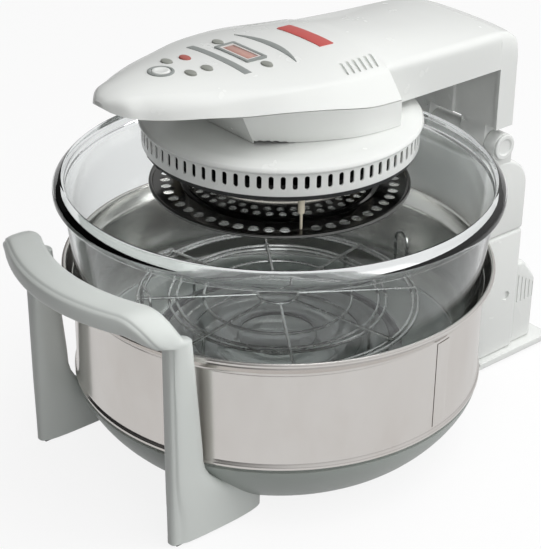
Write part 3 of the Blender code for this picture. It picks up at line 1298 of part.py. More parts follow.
def make_guard():
    """The perforated guard plate, its posts, and the ring-shaped heating lamp with its sockets."""
    step = GUARD_STEP_HEIGHT
    sheet = GUARD_SHEET
    edge = GUARD_RADIUS - GUARD_ROLL
    upper = [(0.0, GUARD_Z + step), (GUARD_STEP_RADIUS - step, GUARD_Z + step), (GUARD_STEP_RADIUS, GUARD_Z)]
    upper += [(edge - GUARD_ROLL * 1.5, GUARD_Z)]
    lower = [(edge - GUARD_ROLL, GUARD_Z - sheet), (GUARD_STEP_RADIUS - sheet / 2, GUARD_Z - sheet),
             (GUARD_STEP_RADIUS - step - sheet / 2, GUARD_Z + step - sheet), (0.0, GUARD_Z + step - sheet)]
    rim = arc((edge, GUARD_Z), GUARD_ROLL, 130, -110, 4)
    guard = turned("guard", upper + rim + lower, TURNS)
    holes = []
    for circle, count, radius in GUARD_HOLE_ROWS:
        for number, (place, _) in enumerate(ring_places(circle, GUARD_Z, count, POST_FIRST_DEG)):
            if circle != POST_CIRCLE or number % (count // POST_COUNT):
                holes.append(drum("hole", radius, OVERRUN * 2, place, "Z", 5))
    boolean(guard, as_cutter(join("guard_holes", holes), "guard_holes"))
    keep(guard, "guard_plate", STEEL, "lid")
    high = reflector_underside() - SEAM
    low = GUARD_Z + SEAM
    neck = low + POST_ROD_LENGTH
    post = [(0.0, high), (POST_RADIUS, high), (POST_RADIUS, neck), (POST_ROD_RADIUS, neck)]
    post += [(POST_ROD_RADIUS, low), (0.0, low)]
    for number, (place, _) in enumerate(ring_places(POST_CIRCLE, 0.0, POST_COUNT, POST_FIRST_DEG)):
        keep(turned("post", post, 12, at=place), f"guard_post_{number + 1}", CERAMIC, "lid")
    half_gap = HEATER_GAP_DEG / 2
    points = arc((0.0, 0.0), HEATER_RING_RADIUS, half_gap + 90, 450 - half_gap, 28)
    lamp = tube("lamp", [(x, y, HEATER_Z) for x, y in points], HEATER_TUBE_RADIUS)
    keep(as_mesh(lamp), "halogen_lamp", QUARTZ, "lid")
    inner = HEATER_RING_RADIUS - HEATER_TUBE_RADIUS
    far = inner * math.sin(math.radians(half_gap)) - SEAM * 2
    reach = HEATER_SOCKET / 2
    for side in (-1, 1):
        ends = sorted((side * far, side * (far - HEATER_SOCKET)))
        socket = block("socket", (ends[0], HEATER_RING_RADIUS - reach, HEATER_Z - HEATER_TUBE_RADIUS),
                       (ends[1], HEATER_RING_RADIUS + reach, high))
        keep(socket, "lamp_socket_" + side_word(side), CERAMIC, "lid")


def make_fans():
    """The hot-air fan, the shaft, the cooling fan, the motor and the plate that holds it."""
    low = FAN_Z - FAN_BLADE_HEIGHT / 2
    hub = drum("hub", SHAFT_RADIUS * 2.4, FAN_BLADE_HEIGHT, (0.0, 0.0, FAN_Z), "Z", 16)
    shaft_room = drum("shaft_room", SHAFT_RADIUS + SEAM, FAN_BLADE_HEIGHT * 2, (0.0, 0.0, FAN_Z), "Z", 16)
    disc_z = FAN_Z + FAN_BLADE_HEIGHT / 2 - FAN_SHEET / 2
    disc = drum("disc", FAN_RADIUS, FAN_SHEET, (0.0, 0.0, disc_z), "Z", 32)
    boolean(hub, as_cutter(disc, "fan_disc"), "UNION")
    for place, angle in ring_places(FAN_RADIUS * 0.62, FAN_Z, FAN_BLADES):
        blade = block("blade", (-FAN_RADIUS * 0.33, -FAN_SHEET / 2, -FAN_BLADE_HEIGHT / 2),
                      (FAN_RADIUS * 0.33, FAN_SHEET / 2, FAN_BLADE_HEIGHT / 2 - FAN_SHEET / 2))
        turn = angle + math.radians(FAN_BLADE_DEG)
        blade.matrix_basis = Matrix.Translation(place) @ Matrix.Rotation(turn, 4, "Z")
        boolean(hub, as_cutter(blade, f"fan_blade_{round(math.degrees(angle))}"), "UNION")
    boolean(hub, as_cutter(shaft_room, "fan_bore"))
    keep(hub, "hot_air_fan", ALUMINIUM, "fan")
    high = COOLING_FAN_Z
    cooler = drum("cooler", SHAFT_RADIUS * 2.4, FAN_BLADE_HEIGHT, (0.0, 0.0, high), "Z", 16)
    for place, angle in ring_places(COOLING_FAN_RADIUS / 2, high, FAN_BLADES):
        root = SHAFT_RADIUS * 1.6 - COOLING_FAN_RADIUS / 2
        rise = FAN_BLADE_HEIGHT / 2 - SEAM
        blade = block("blade", (root, -FAN_SHEET / 2, -rise), (COOLING_FAN_RADIUS / 2, FAN_SHEET / 2, rise))
        blade.matrix_basis = Matrix.Translation(place) @ Matrix.Rotation(angle, 4, "Z")
        boolean(cooler, as_cutter(blade, f"cooler_blade_{round(math.degrees(angle))}"), "UNION")
    room = drum("cooler_bore", SHAFT_RADIUS + SEAM, FAN_BLADE_HEIGHT * 2, (0.0, 0.0, high), "Z", 16)
    boolean(cooler, as_cutter(room, "cooler_bore"))
    keep(cooler, "cooling_fan", BLACK, "fan")
    top = MOTOR_Z + MOTOR_HEIGHT * 0.3
    shaft = drum("shaft", SHAFT_RADIUS, top - low, (0.0, 0.0, (top + low) / 2), "Z", 16)
    keep(shaft, "fan_shaft", STEEL, "fan")
    motor = drum("motor", MOTOR_RADIUS, MOTOR_HEIGHT, (0.0, 0.0, MOTOR_Z + MOTOR_HEIGHT / 2))
    bevel(motor, EDGE_BEVEL / 2, 1)
    bore = drum("motor_bore", SHAFT_RADIUS + SEAM, MOTOR_HEIGHT * 0.7, (0.0, 0.0, MOTOR_Z), "Z", 16)
    boolean(motor, as_cutter(bore, "motor_bore"))
    keep(motor, "fan_motor", STEEL, "lid")
    plate_high = MOTOR_Z - SEAM
    plate_low = HEAD_TOP + SEAM
    middle = (0.0, 0.0, (plate_high + plate_low) / 2)
    bracket = drum("bracket", MOTOR_BRACKET_HALF, plate_high - plate_low, middle, "Z", 32)
    bore = drum("bracket_bore", HEAD_BORE_RADIUS, OVERRUN * 3, (0.0, 0.0, plate_low), "Z", 16)
    boolean(bracket, as_cutter(bore, "bracket_bore"))
    keep(bracket, "motor_plate", ALUMINIUM, "lid")
    place = (MOTOR_BRACKET_HALF + THERMOSTAT_RADIUS + RUNNING, 0.0, HEAD_TOP + SEAM + THERMOSTAT_HEIGHT / 2)
    thermostat = drum("thermostat", THERMOSTAT_RADIUS, THERMOSTAT_HEIGHT, place)
    keep(thermostat, "thermostat", ALUMINIUM, "lid")


def build():
    """Make every piece."""
    make_pan()
    make_jacket()
    make_cradle()
    make_bowl()
    make_rack()
    make_handle()
    make_column()
    make_hinge()
    make_arm()
    make_keys()
    make_panel()
    make_motor_housing()
    make_head()
    make_guard()
    make_fans()


build()
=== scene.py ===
"""Countertop halogen oven: a glass bowl in a steel jacket with a heater head on a hinged arm.

Every size is in metres. Places are given from the bowl's axis on the floor, with the front towards -Y,
and each finished mesh is then moved by AXIS_Y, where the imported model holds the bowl's axis.
"""

import json
import logging
import math
from dataclasses import dataclass, field
from enum import Enum
from typing import Callable, Dict, List, Optional, Sequence, Tuple

import bmesh
import bpy
from mathutils import Matrix, Vector

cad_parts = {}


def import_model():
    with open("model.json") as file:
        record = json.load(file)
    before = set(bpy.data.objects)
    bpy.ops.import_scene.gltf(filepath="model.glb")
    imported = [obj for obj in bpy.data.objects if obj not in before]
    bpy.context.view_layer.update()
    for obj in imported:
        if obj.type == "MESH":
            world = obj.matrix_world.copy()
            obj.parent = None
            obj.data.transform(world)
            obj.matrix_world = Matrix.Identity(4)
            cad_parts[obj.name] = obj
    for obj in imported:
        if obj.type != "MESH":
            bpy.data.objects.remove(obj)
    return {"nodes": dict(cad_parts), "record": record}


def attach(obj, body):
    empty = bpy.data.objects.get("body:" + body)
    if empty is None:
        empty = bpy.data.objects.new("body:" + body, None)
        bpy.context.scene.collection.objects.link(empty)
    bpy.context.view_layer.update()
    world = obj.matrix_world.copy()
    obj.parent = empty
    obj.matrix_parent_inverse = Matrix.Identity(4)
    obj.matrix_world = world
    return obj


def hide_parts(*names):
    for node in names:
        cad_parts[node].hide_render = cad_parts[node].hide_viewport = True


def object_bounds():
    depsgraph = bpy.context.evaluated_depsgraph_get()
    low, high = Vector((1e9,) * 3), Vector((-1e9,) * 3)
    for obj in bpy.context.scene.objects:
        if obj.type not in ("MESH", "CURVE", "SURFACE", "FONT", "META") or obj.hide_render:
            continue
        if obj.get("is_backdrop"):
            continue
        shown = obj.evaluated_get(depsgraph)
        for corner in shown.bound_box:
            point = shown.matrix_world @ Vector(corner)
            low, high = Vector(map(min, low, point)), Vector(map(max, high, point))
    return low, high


LOG = logging.getLogger("oven")
AXIS_Y = -0.0225
SEAM = 0.0003
OVERRUN = 0.004
MERGE = 0.000002
# Imported nodes inside the head, which little light reaches; they are painted near-black steel as painted shade
DIM_NODES = ("head_reflector", "fan_shaft", "fan_motor")

Point2 = Tuple[float, float]
Point3 = Tuple[float, float, float]
Colour = Tuple[float, float, float]
Piece = bpy.types.Object


class Body(Enum):
    """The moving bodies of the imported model."""

    ROOT = "root"
    LID = "lid"
    BOWL = "bowl"
    RACK = "rack"


class Limit(Enum):
    """How sharp an edge stays when a piece is shaded smooth, in degrees."""

    SOFT = 50.0
    PLAIN = 35.0
    CRISP = 24.0


# Curves in the flat

def arc(centre: Point2, radius: float, first: float, last: float, steps: int) -> List[Point2]:
    """Points on an arc.

    Args:
        centre: The arc's centre.
        radius: Its radius.
        first: The first point's angle in degrees.
        last: The last point's angle in degrees.
        steps: The number of spans.

    Returns:
        The points, ends included.
    """
    turns = [math.radians(first + (last - first) * i / steps) for i in range(steps + 1)]
    return [(centre[0] + radius * math.cos(t), centre[1] + radius * math.sin(t)) for t in turns]


def dish(low: Point2, high: Point2, power: float, steps: int) -> List[Point2]:
    """A quarter of a rounded square between a floor's edge and a wall's foot.

    Args:
        low: Radius and height at the floor.
        high: Radius and height at the wall.
        power: The roundness, 2 for a plain ellipse.
        steps: The number of spans.

    Returns:
        The points from floor to wall.
    """
    points = []
    for i in range(steps + 1):
        turn = math.pi / 2 * i / steps
        across = math.sin(turn) ** (2 / power)
        up = 1 - math.cos(turn) ** (2 / power) if i < steps else 1.0
        points.append((low[0] + (high[0] - low[0]) * across, low[1] + (high[1] - low[1]) * up))
    return points


def rounded(points: Sequence[Point2], radius: float, steps: int = 4, closed: bool = False) -> List[Point2]:
    """A line of points with its corners rounded off.

    Args:
        points: The corner points.
        radius: The rounding's reach along each leg, shortened where a leg is short.
        steps: The number of spans in each rounding.
        closed: Whether the line runs back to its start.

    Returns:
        The rounded line.
    """
    line: List[Point2] = []
    count = len(points)
    for i, here in enumerate(points):
        if not closed and i in (0, count - 1):
            line.append(here)
            continue
        before, after = Vector(points[i - 1]), Vector(points[(i + 1) % count])
        at = Vector(here)
        back, on = before - at, after - at
        reach = min(radius, back.length * 0.45, on.length * 0.45)
        start, end = at + back.normalized() * reach, at + on.normalized() * reach
        for k in range(steps + 1):
            t = k / steps
            spot = start * (1 - t) ** 2 + at * (2 * t * (1 - t)) + end * t ** 2
            line.append((spot.x, spot.y))
    return line


def eased(rows: Sequence[Sequence[float]], spans: int) -> List[Tuple[float, ...]]:
    """Rows of numbers with smooth rows put in between.

    Args:
        rows: The given rows, the first number the place along.
        spans: The number of spans between two given rows.

    Returns:
        The rows of a smooth curve through all the given ones.
    """
    made: List[Tuple[float, ...]] = []
    for i in range(len(rows) - 1):
        a, b = rows[max(0, i - 1)], rows[i]
        c, d = rows[i + 1], rows[min(len(rows) - 1, i + 2)]
        for k in range(spans):
            t = k / spans
            row = []
            for p0, p1, p2, p3 in zip(a, b, c, d):
                bend = (2 * p0 - 5 * p1 + 4 * p2 - p3) * t + (3 * p1 - p0 - 3 * p2 + p3) * t * t
                row.append(p1 + 0.5 * t * ((p2 - p0) + bend))
            made.append(tuple(row))
    made.append(tuple(rows[-1]))
    return made


# Modelling by hand

def deselect() -> None:
    """Leave edit mode and select nothing."""
    if bpy.context.mode != "OBJECT":
        bpy.ops.object.mode_set(mode="OBJECT")
    bpy.ops.object.select_all(action="DESELECT")


def pick(piece: Piece) -> Piece:
    """Make a piece the only selected and active one.

    Args:
        piece: The piece.

    Returns:
        The same piece.
    """
    deselect()
    piece.select_set(True)
    bpy.context.view_layer.objects.active = piece
    return piece


def close_up(piece: Piece) -> Piece:
    """Merge doubles and turn the faces outwards in edit mode, then leave it.

    Args:
        piece: The piece that is being edited.

    Returns:
        The same piece.
    """
    bpy.ops.mesh.select_all(action="SELECT")
    bpy.ops.mesh.remove_doubles(threshold=MERGE)
    bpy.ops.mesh.normals_make_consistent(inside=False)
    bpy.ops.object.mode_set(mode="OBJECT")
    return piece


def lathe(name: str, profile: Sequence[Point2], turns: int, closed: bool = False) -> Piece:
    """A profile in radius and height, drawn by extruding a point and then spun about Z.

    Args:
        name: The piece's name.
        profile: The points from one end to the other.
        turns: The number of steps round.
        closed: Whether the profile runs back to its first point.

    Returns:
        The piece.
    """
    deselect()
    bpy.ops.mesh.primitive_plane_add(size=SEAM, location=(0.0, 0.0, 0.0))
    piece = bpy.context.object
    piece.name = name
    piece.data.name = name
    bpy.ops.object.mode_set(mode="EDIT")
    bpy.ops.mesh.select_all(action="SELECT")
    bpy.ops.mesh.merge(type="CENTER")
    bpy.ops.transform.translate(value=(profile[0][0], 0.0, profile[0][1]))
    line = list(profile) + ([profile[0]] if closed else [])
    for near, far in zip(line, line[1:]):
        step = (far[0] - near[0], 0.0, far[1] - near[1])
        bpy.ops.mesh.extrude_region_move(TRANSFORM_OT_translate={"value": step})
    bpy.ops.mesh.select_all(action="SELECT")
    bpy.ops.mesh.spin(steps=turns, angle=2 * math.pi, center=(0.0, 0.0, 0.0), axis=(0.0, 0.0, 1.0))
    return close_up(piece)


def loft(name: str, rings: Sequence[Sequence[Point3]]) -> Piece:
    """A closed form: a filled ring, extruded from station to station.

    Args:
        name: The piece's name.
        rings: The stations, each with as many points as the first.

    Returns:
        The piece.
    """
    deselect()
    bpy.ops.mesh.primitive_circle_add(vertices=len(rings[0]), radius=SEAM, fill_type="NGON")
    piece = bpy.context.object
    piece.name = name
    piece.data.name = name
    bpy.ops.object.mode_set(mode="EDIT")
    bpy.ops.mesh.select_all(action="SELECT")
    order = list(range(len(rings[0])))
    for number, ring in enumerate(rings):
        if number:
            bpy.ops.mesh.extrude_region_move(TRANSFORM_OT_translate={"value": (0.0, 0.0, 0.0)})
        sheet = bmesh.from_edit_mesh(piece.data)
        sheet.verts.ensure_lookup_table()
        sheet.verts.index_update()
        if number:
            order = [next(e.other_vert(sheet.verts[i]).index for e in sheet.verts[i].link_edges
                          if e.other_vert(sheet.verts[i]).select) for i in order]
        for i, place in zip(order, ring):
            sheet.verts[i].co = place
        bmesh.update_edit_mesh(piece.data)
    return close_up(piece)


def slab(name: str, outline: Sequence[Point2], low: float, high: float, axis: str = "X") -> Piece:
    """A flat outline given a thickness.

    Args:
        name: The piece's name.
        outline: The points, in Y and Z for axis X, X and Z for Y, X and Y for Z.
        low: One face's place on the axis.
        high: The other face's place.
        axis: The axis across the outline.

    Returns:
        The piece.
    """
    def at(point: Point2, level: float) -> Point3:
        """One corner in space."""
        a, b = point
        return {"X": (level, a, b), "Y": (a, level, b), "Z": (a, b, level)}[axis]

    return loft(name, [[at(p, level) for p in outline] for level in (low, high)])


def block(name: str, low: Point3, high: Point3) -> Piece:
    """A box between two corners, as a start for cuts and bevels.

    Args:
        name: The piece's name.
        low: Its lowest corner.
        high: Its highest corner.

    Returns:
        The piece.
    """
    outline = [(low[0], low[1]), (high[0], low[1]), (high[0], high[1]), (low[0], high[1])]
    return slab(name, outline, low[2], high[2], "Z")


def wire(name: str, points: Sequence[Point3], radius: float, cyclic: bool = False,
         rings: int = 2) -> Piece:
    """A round wire along points.

    Args:
        name: The piece's name.
        points: The middle line.
        radius: The wire's radius.
        cyclic: Whether it runs back to its start.
        rings: How finely its section is rounded.

    Returns:
        The piece as a mesh.
    """
    deselect()
    bpy.ops.curve.primitive_bezier_curve_add()
    piece = bpy.context.object
    piece.name = name
    curve = piece.data
    curve.splines.clear()
    spline = curve.splines.new("POLY")
    spline.points.add(len(points) - 1)
    for spot, place in zip(spline.points, points):
        spot.co = (*place, 1.0)
    spline.use_cyclic_u = cyclic
    curve.dimensions = "3D"
    curve.bevel_depth = radius
    curve.bevel_resolution = rings
    curve.use_fill_caps = True
    bpy.ops.object.convert(target="MESH")
    piece.data.name = name
    return piece


def joined(name: str, pieces: Sequence[Piece]) -> Piece:
    """Several pieces as one object.

    Args:
        name: The new piece's name.
        pieces: The pieces.

    Returns:
        The joined piece.
    """
    pick(pieces[0])
    for piece in pieces:
        piece.select_set(True)
    if len(pieces) > 1:
        bpy.ops.object.join()
    pieces[0].name = name
    pieces[0].data.name = name
    return pieces[0]


def cut(piece: Piece, tool: Piece, operation: str = "DIFFERENCE") -> Piece:
    """Cut a piece with another, or join them, and delete the other.

    Args:
        piece: The piece that stays.
        tool: The piece that cuts.
        operation: The boolean's operation.

    Returns:
        The piece that stays.
    """
    pick(piece)
    change = piece.modifiers.new("cut", "BOOLEAN")
    change.operation = operation
    change.solver = "EXACT"
    change.object = tool
    bpy.ops.object.modifier_apply(modifier=change.name)
    pick(tool)
    bpy.ops.object.delete()
    return pick(piece)


def bevelled(piece: Piece, width: float, steps: int = 2, angle: float = 40.0) -> Piece:
    """Round the sharp edges of a piece.

    Args:
        piece: The piece.
        width: The rounding's width.
        steps: Its number of spans.
        angle: The least angle of an edge that is rounded, in degrees.

    Returns:
        The same piece.
    """
    pick(piece)
    change = piece.modifiers.new("edge", "BEVEL")
    change.width = width
    change.segments = steps
    change.limit_method = "ANGLE"
    change.angle_limit = math.radians(angle)
    change.harden_normals = False
    bpy.ops.object.modifier_apply(modifier=change.name)
    return piece


def copies(first: Piece, moves: Dict[str, Matrix]) -> List[Piece]:
    """Moved copies of a piece, each with its own mesh. The piece itself is then deleted.

    Args:
        first: The piece that is copied.
        moves: Each copy's name and its move from the first place to the new one.

    Returns:
        The copies.
    """
    made = []
    for name, move in moves.items():
        pick(first)
        bpy.ops.object.duplicate(linked=False)
        copy = bpy.context.object
        copy.name = name
        copy.data.name = name
        copy.matrix_world = move
        bpy.ops.object.transform_apply(location=True, rotation=True, scale=True)
        made.append(copy)
    pick(first)
    bpy.ops.object.delete()
    return made


# Paint

class Signal:
    """A shader socket that takes part in sums. Each operator adds its Math node."""

    def __init__(self, net: "Net", socket: bpy.types.NodeSocket) -> None:
        """Keep the socket and the net it belongs to."""
        self.net = net
        self.socket = socket

    def __add__(self, other: object) -> "Signal":
        """Sum."""
        return self.net.maths("ADD", self, other)

    def __sub__(self, other: object) -> "Signal":
        """Difference."""
        return self.net.maths("SUBTRACT", self, other)

    def __rsub__(self, other: object) -> "Signal":
        """Difference, from the other side."""
        return self.net.maths("SUBTRACT", other, self)

    def __mul__(self, other: object) -> "Signal":
        """Product."""
        return self.net.maths("MULTIPLY", self, other)

    __radd__ = __add__
    __rmul__ = __mul__


class Net:
    """The node tree of one material or of the surround."""

    def __init__(self, owner: bpy.types.ID) -> None:
        """Open the tree of a material or a world."""
        owner.use_nodes = True
        self.owner = owner
        self.tree = owner.node_tree
        self.shader = self.tree.nodes.get("Principled BSDF")

    def node(self, kind: str, settings: Dict[str, object], inputs: Dict[object, object],
             output: object = 0) -> Optional[Signal]:
        """Add a node.

        Args:
            kind: The node's type.
            settings: Its settings, set before its sockets; "stops" holds a ramp's places and colours.
            inputs: The values or signals of its sockets.
            output: The socket that is handed back.

        Returns:
            The chosen output, or nothing for a node that has none.
        """
        made = self.tree.nodes.new(kind)
        for word, value in settings.items():
            if word == "stops":
                self.stops(made, value)
            else:
                setattr(made, word, value)
        for word, value in inputs.items():
            self.feed(made.inputs[word], value)
        return Signal(self, made.outputs[output]) if made.outputs else None

    def stops(self, ramp: bpy.types.Node, stops: Sequence[Tuple[float, Sequence[float]]]) -> None:
        """Set a ramp's stops.

        Args:
            ramp: The ramp node.
            stops: The places and colours, two or more.
        """
        elements = ramp.color_ramp.elements
        while len(elements) < len(stops):
            elements.new(1.0)
        for element, (place, colour) in zip(elements, stops):
            element.position = place
            element.color = (*colour, 1.0)

    def feed(self, socket: bpy.types.NodeSocket, value: object) -> None:
        """Give a socket its value or link.

        Args:
            socket: The socket.
            value: A signal, a number or a colour.
        """
        if isinstance(value, Signal):
            self.tree.links.new(value.socket, socket)
        elif isinstance(value, tuple) and len(value) == 3 and socket.type == "RGBA":
            socket.default_value = (*value, 1.0)
        else:
            socket.default_value = value

    def maths(self, operation: str, first: object, second: object) -> Signal:
        """A Math node on two signals or numbers."""
        return self.node("ShaderNodeMath", {"operation": operation}, {0: first, 1: second})

    def place(self) -> Signal:
        """The place on the object."""
        return self.node("ShaderNodeTexCoord", {}, {}, "Object")

    def stretched(self, scale: Point3, shift: Point3 = (0.0, 0.0, 0.0)) -> Signal:
        """The place on the object, stretched by a factor on each axis and moved."""
        return self.node("ShaderNodeMapping", {}, {"Vector": self.place(), "Scale": scale, "Location": shift})

    def noise(self, place: Signal, scale: float, detail: float = 3.0, rough: float = 0.55) -> Signal:
        """A noise from 0 to 1."""
        inputs = {"Vector": place, "Scale": scale, "Detail": detail, "Roughness": rough}
        return self.node("ShaderNodeTexNoise", {}, inputs, 0)

    def span(self, signal: Signal, low: float, high: float, first: float, last: float) -> Signal:
        """A signal carried from one range to another, held at its ends."""
        inputs = {"Value": signal, "From Min": low, "From Max": high, "To Min": first, "To Max": last}
        return self.node("ShaderNodeMapRange", {"clamp": True}, inputs)

    def blend(self, share: object, first: object, second: object) -> Signal:
        """Two colours mixed by a share."""
        inputs = {0: share, 6: first, 7: second}
        return self.node("ShaderNodeMix", {"data_type": "RGBA"}, inputs, 2)

    def bump(self, height: Signal, depth: float, strength: float = 1.0) -> None:
        """Feed a height to the shader's normal."""
        inputs = {"Height": height, "Distance": depth, "Strength": strength}
        self.put("Normal", self.node("ShaderNodeBump", {}, inputs))

    def put(self, word: str, value: object) -> None:
        """Set one socket of the shader."""
        self.feed(self.shader.inputs[word], value)

    def axis(self, name: str) -> Signal:
        """One coordinate of the place on the object."""
        return self.node("ShaderNodeSeparateXYZ", {}, {"Vector": self.place()}, name)


@dataclass(frozen=True)
class Plastic:
    """Moulded plastic: a faint cloudiness in its colour, a fine skin and dust-dulled patches."""

    name: str
    colour: Colour
    roughness: float = 0.30
    coat: float = 0.0
    cloud: float = 0.010
    grain: float = 900.0
    grain_depth: float = 0.00002

    def material(self) -> bpy.types.Material:
        """Build the material.

        Returns:
            The material.
        """
        net = Net(bpy.data.materials.new(self.name))
        place = net.place()
        cloud = net.noise(place, 14.0, 4.0)
        dark = tuple(c * (1 - 2 * self.cloud) for c in self.colour)
        light = tuple(min(1.0, c * (1 + self.cloud)) for c in self.colour)
        net.put("Base Color", net.blend(cloud, dark, light))
        patch = net.noise(place, 37.0, 3.0)
        net.put("Roughness", net.span(patch, 0.3, 0.7, self.roughness * 0.95, self.roughness * 1.06))
        net.put("Coat Weight", self.coat)
        net.put("Coat Roughness", 0.06)
        net.put("IOR", 1.49)
        net.bump(net.noise(place, self.grain, 2.0), self.grain_depth, 0.35)
        return net.owner


@dataclass(frozen=True)
class Steel:
    """Polished sheet steel: fine lines round it, smudges, and faint heat tints."""

    name: str
    colour: Colour
    tint: Colour
    roughness: float = 0.16
    lines: float = 1800.0
    tinted: float = 0.35

    def material(self) -> bpy.types.Material:
        """Build the material.

        Returns:
            The material.
        """
        net = Net(bpy.data.materials.new(self.name))
        lines = net.noise(net.stretched((0.02, 0.02, 1.0)), self.lines, 2.0)
        smudge = net.noise(net.stretched((1.0, 1.0, 0.45)), 16.0, 5.0, 0.62)
        tints = net.noise(net.stretched((1.0, 1.0, 0.6), (0.3, 0.1, 0.7)), 34.0, 2.0)
        spots = net.span(tints, 0.56, 0.80, 0.0, 1.0)
        share = net.span(smudge, 0.35, 0.75, 0.0, self.tinted) + spots * (self.tinted * 0.5)
        net.put("Base Color", net.blend(share, self.colour, self.tint))
        net.put("Metallic", 1.0)
        base = net.span(smudge, 0.3, 0.7, self.roughness * 0.8, self.roughness * 1.3)
        net.put("Roughness", base + lines * 0.05)
        net.bump(lines, 0.00001, 0.25)
        return net.owner


@dataclass(frozen=True)
class Wire:
    """Chromed or bare metal, slightly uneven."""

    name: str
    colour: Colour
    roughness: float

    def material(self) -> bpy.types.Material:
        """Build the material.

        Returns:
            The material.
        """
        net = Net(bpy.data.materials.new(self.name))
        uneven = net.noise(net.place(), 160.0, 3.0)
        net.put("Base Color", net.blend(uneven, tuple(c * 0.86 for c in self.colour), self.colour))
        net.put("Metallic", 1.0)
        net.put("Roughness", net.span(uneven, 0.3, 0.7, self.roughness * 0.7, self.roughness * 1.4))
        return net.owner


@dataclass(frozen=True)
class Glass:
    """Clear pressed glass with a breath of colour and a slight waviness."""

    name: str
    colour: Colour
    roughness: float = 0.0
    wave: float = 0.00006

    def material(self) -> bpy.types.Material:
        """Build the material.

        Returns:
            The material.
        """
        net = Net(bpy.data.materials.new(self.name))
        drift = net.noise(net.place(), 9.0, 1.0)
        net.put("Base Color", net.blend(drift, self.colour, tuple(min(1.0, c * 1.03) for c in self.colour)))
        net.put("Roughness", self.roughness)
        net.put("Transmission Weight", 1.0)
        net.put("IOR", 1.47)
        net.bump(net.noise(net.place(), 26.0, 1.0), self.wave, 0.3)
        return net.owner


@dataclass(frozen=True)
class Window:
    """A smoked display window that is redder towards its middle."""

    name: str
    middle: Colour
    edge: Colour
    middle_y: float
    half: float

    def material(self) -> bpy.types.Material:
        """Build the material.

        Returns:
            The material.
        """
        net = Net(bpy.data.materials.new(self.name))
        off = net.maths("ABSOLUTE", net.axis("Y") - self.middle_y, 0.0)
        fade = net.span(off, 0.0, self.half, 0.0, 1.0)
        cloud = net.noise(net.place(), 220.0, 2.0) * 0.25
        net.put("Base Color", net.blend(fade + cloud, self.middle, self.edge))
        net.put("Roughness", 0.12)
        net.put("Coat Weight", 0.6)
        return net.owner


class Paint:
    """The oven's finishes, each built once when first used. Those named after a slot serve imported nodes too."""

    GLOSS_WHITE = Plastic("white_gloss_plastic", (0.800, 0.815, 0.795), 0.26, 0.25)
    SATIN_GREY = Plastic("grey_satin_plastic", (0.680, 0.710, 0.685), 0.30, 0.15, 0.01, 700.0)
    # Painted shade: the handle's grey satin plastic, darkened to stand in for the shade on the pan under the oven
    PAN_GREY = Plastic("pan_satin_plastic", (0.400, 0.435, 0.410), 0.36, 0.05, 0.04, 500.0)
    STEEL = Steel("polished_steel", (0.78, 0.755, 0.730), (0.66, 0.60, 0.555))
    MIRROR = Steel("guard_steel", (0.17, 0.17, 0.165), (0.14, 0.14, 0.135), 0.10, 900.0)
    # Painted shade: near-black steel for the nodes inside the head, standing in for the shade there
    SHADED = Steel("shaded_steel", (0.060, 0.060, 0.060), (0.040, 0.040, 0.040), 0.35, 700.0)
    GLASS = Glass("clear_glass", (0.955, 0.985, 0.985))
    RUBBER = Plastic("black_rubber", (0.020, 0.021, 0.022), 0.62, 0.0, 0.10, 400.0, 0.00005)
    CHROME = Wire("chrome_wire", (0.46, 0.47, 0.46), 0.22)
    CERAMIC = Plastic("cream_ceramic", (0.760, 0.700, 0.560), 0.50, 0.0, 0.05)
    QUARTZ = Glass("frosted_quartz", (0.95, 0.92, 0.86), 0.25)
    KEY_GREY = Plastic("grey_key_plastic", (0.290, 0.300, 0.270), 0.42, 0.05, 0.02)
    KEY_RED = Plastic("red_key_plastic", (0.420, 0.110, 0.090), 0.42, 0.10, 0.02)
    PLATE_RED = Plastic("red_plate_plastic", (0.560, 0.085, 0.075), 0.40, 0.10, 0.02)
    SMOKE = Window("smoked_window", (0.560, 0.300, 0.240), (0.340, 0.160, 0.130), -0.0608, 0.009)
    DARK_GREY = Plastic("dark_grey_trim", (0.270, 0.290, 0.280), 0.40, 0.05, 0.04)
    PALE_TRIM = Plastic("pale_trim", (0.700, 0.670, 0.650), 0.35, 0.05, 0.01)
    BOARD = Plastic("circuit_board", (0.040, 0.180, 0.080), 0.50)
    ALUMINIUM = Wire("cast_aluminium", (0.62, 0.62, 0.62), 0.42)
    made: Dict[str, bpy.types.Material] = {}

    @classmethod
    def of(cls, finish: object) -> bpy.types.Material:
        """The material of a finish.

        Args:
            finish: One of the finishes above.

        Returns:
            Its material.
        """
        if finish.name not in cls.made:
            cls.made[finish.name] = finish.material()
        return cls.made[finish.name]

    @classmethod
    def by_slot(cls, slot: str) -> bpy.types.Material:
        """The material for a slot of the record.

        Args:
            slot: The slot's name.

        Returns:
            Its material, white plastic where no finish has that name.
        """
        for finish in vars(cls).values():
            if getattr(finish, "name", "") == slot:
                return cls.of(finish)
        return cls.of(cls.GLOSS_WHITE)


def finished(piece: Piece, finish: object, body: Body, *nodes: str, limit: Limit = Limit.PLAIN,
             slot: str = "") -> None:
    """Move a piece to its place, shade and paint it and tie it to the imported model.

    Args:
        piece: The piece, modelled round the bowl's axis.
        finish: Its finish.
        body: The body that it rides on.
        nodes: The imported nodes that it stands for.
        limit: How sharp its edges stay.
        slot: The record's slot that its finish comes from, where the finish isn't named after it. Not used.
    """
    pick(piece)
    bpy.ops.transform.translate(value=(0.0, AXIS_Y, 0.0))
    bpy.ops.object.transform_apply(location=True, rotation=True, scale=True)
    bpy.ops.object.shade_smooth_by_angle(angle=math.radians(limit.value))
    piece.data.materials.clear()
    piece.data.materials.append(Paint.of(finish))
    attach(piece, body.value)
    if nodes:
        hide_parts(*nodes)
    LOG.info("%s: %d faces on %s", piece.name, len(piece.data.polygons), body.value)


# The oven's sub-assemblies

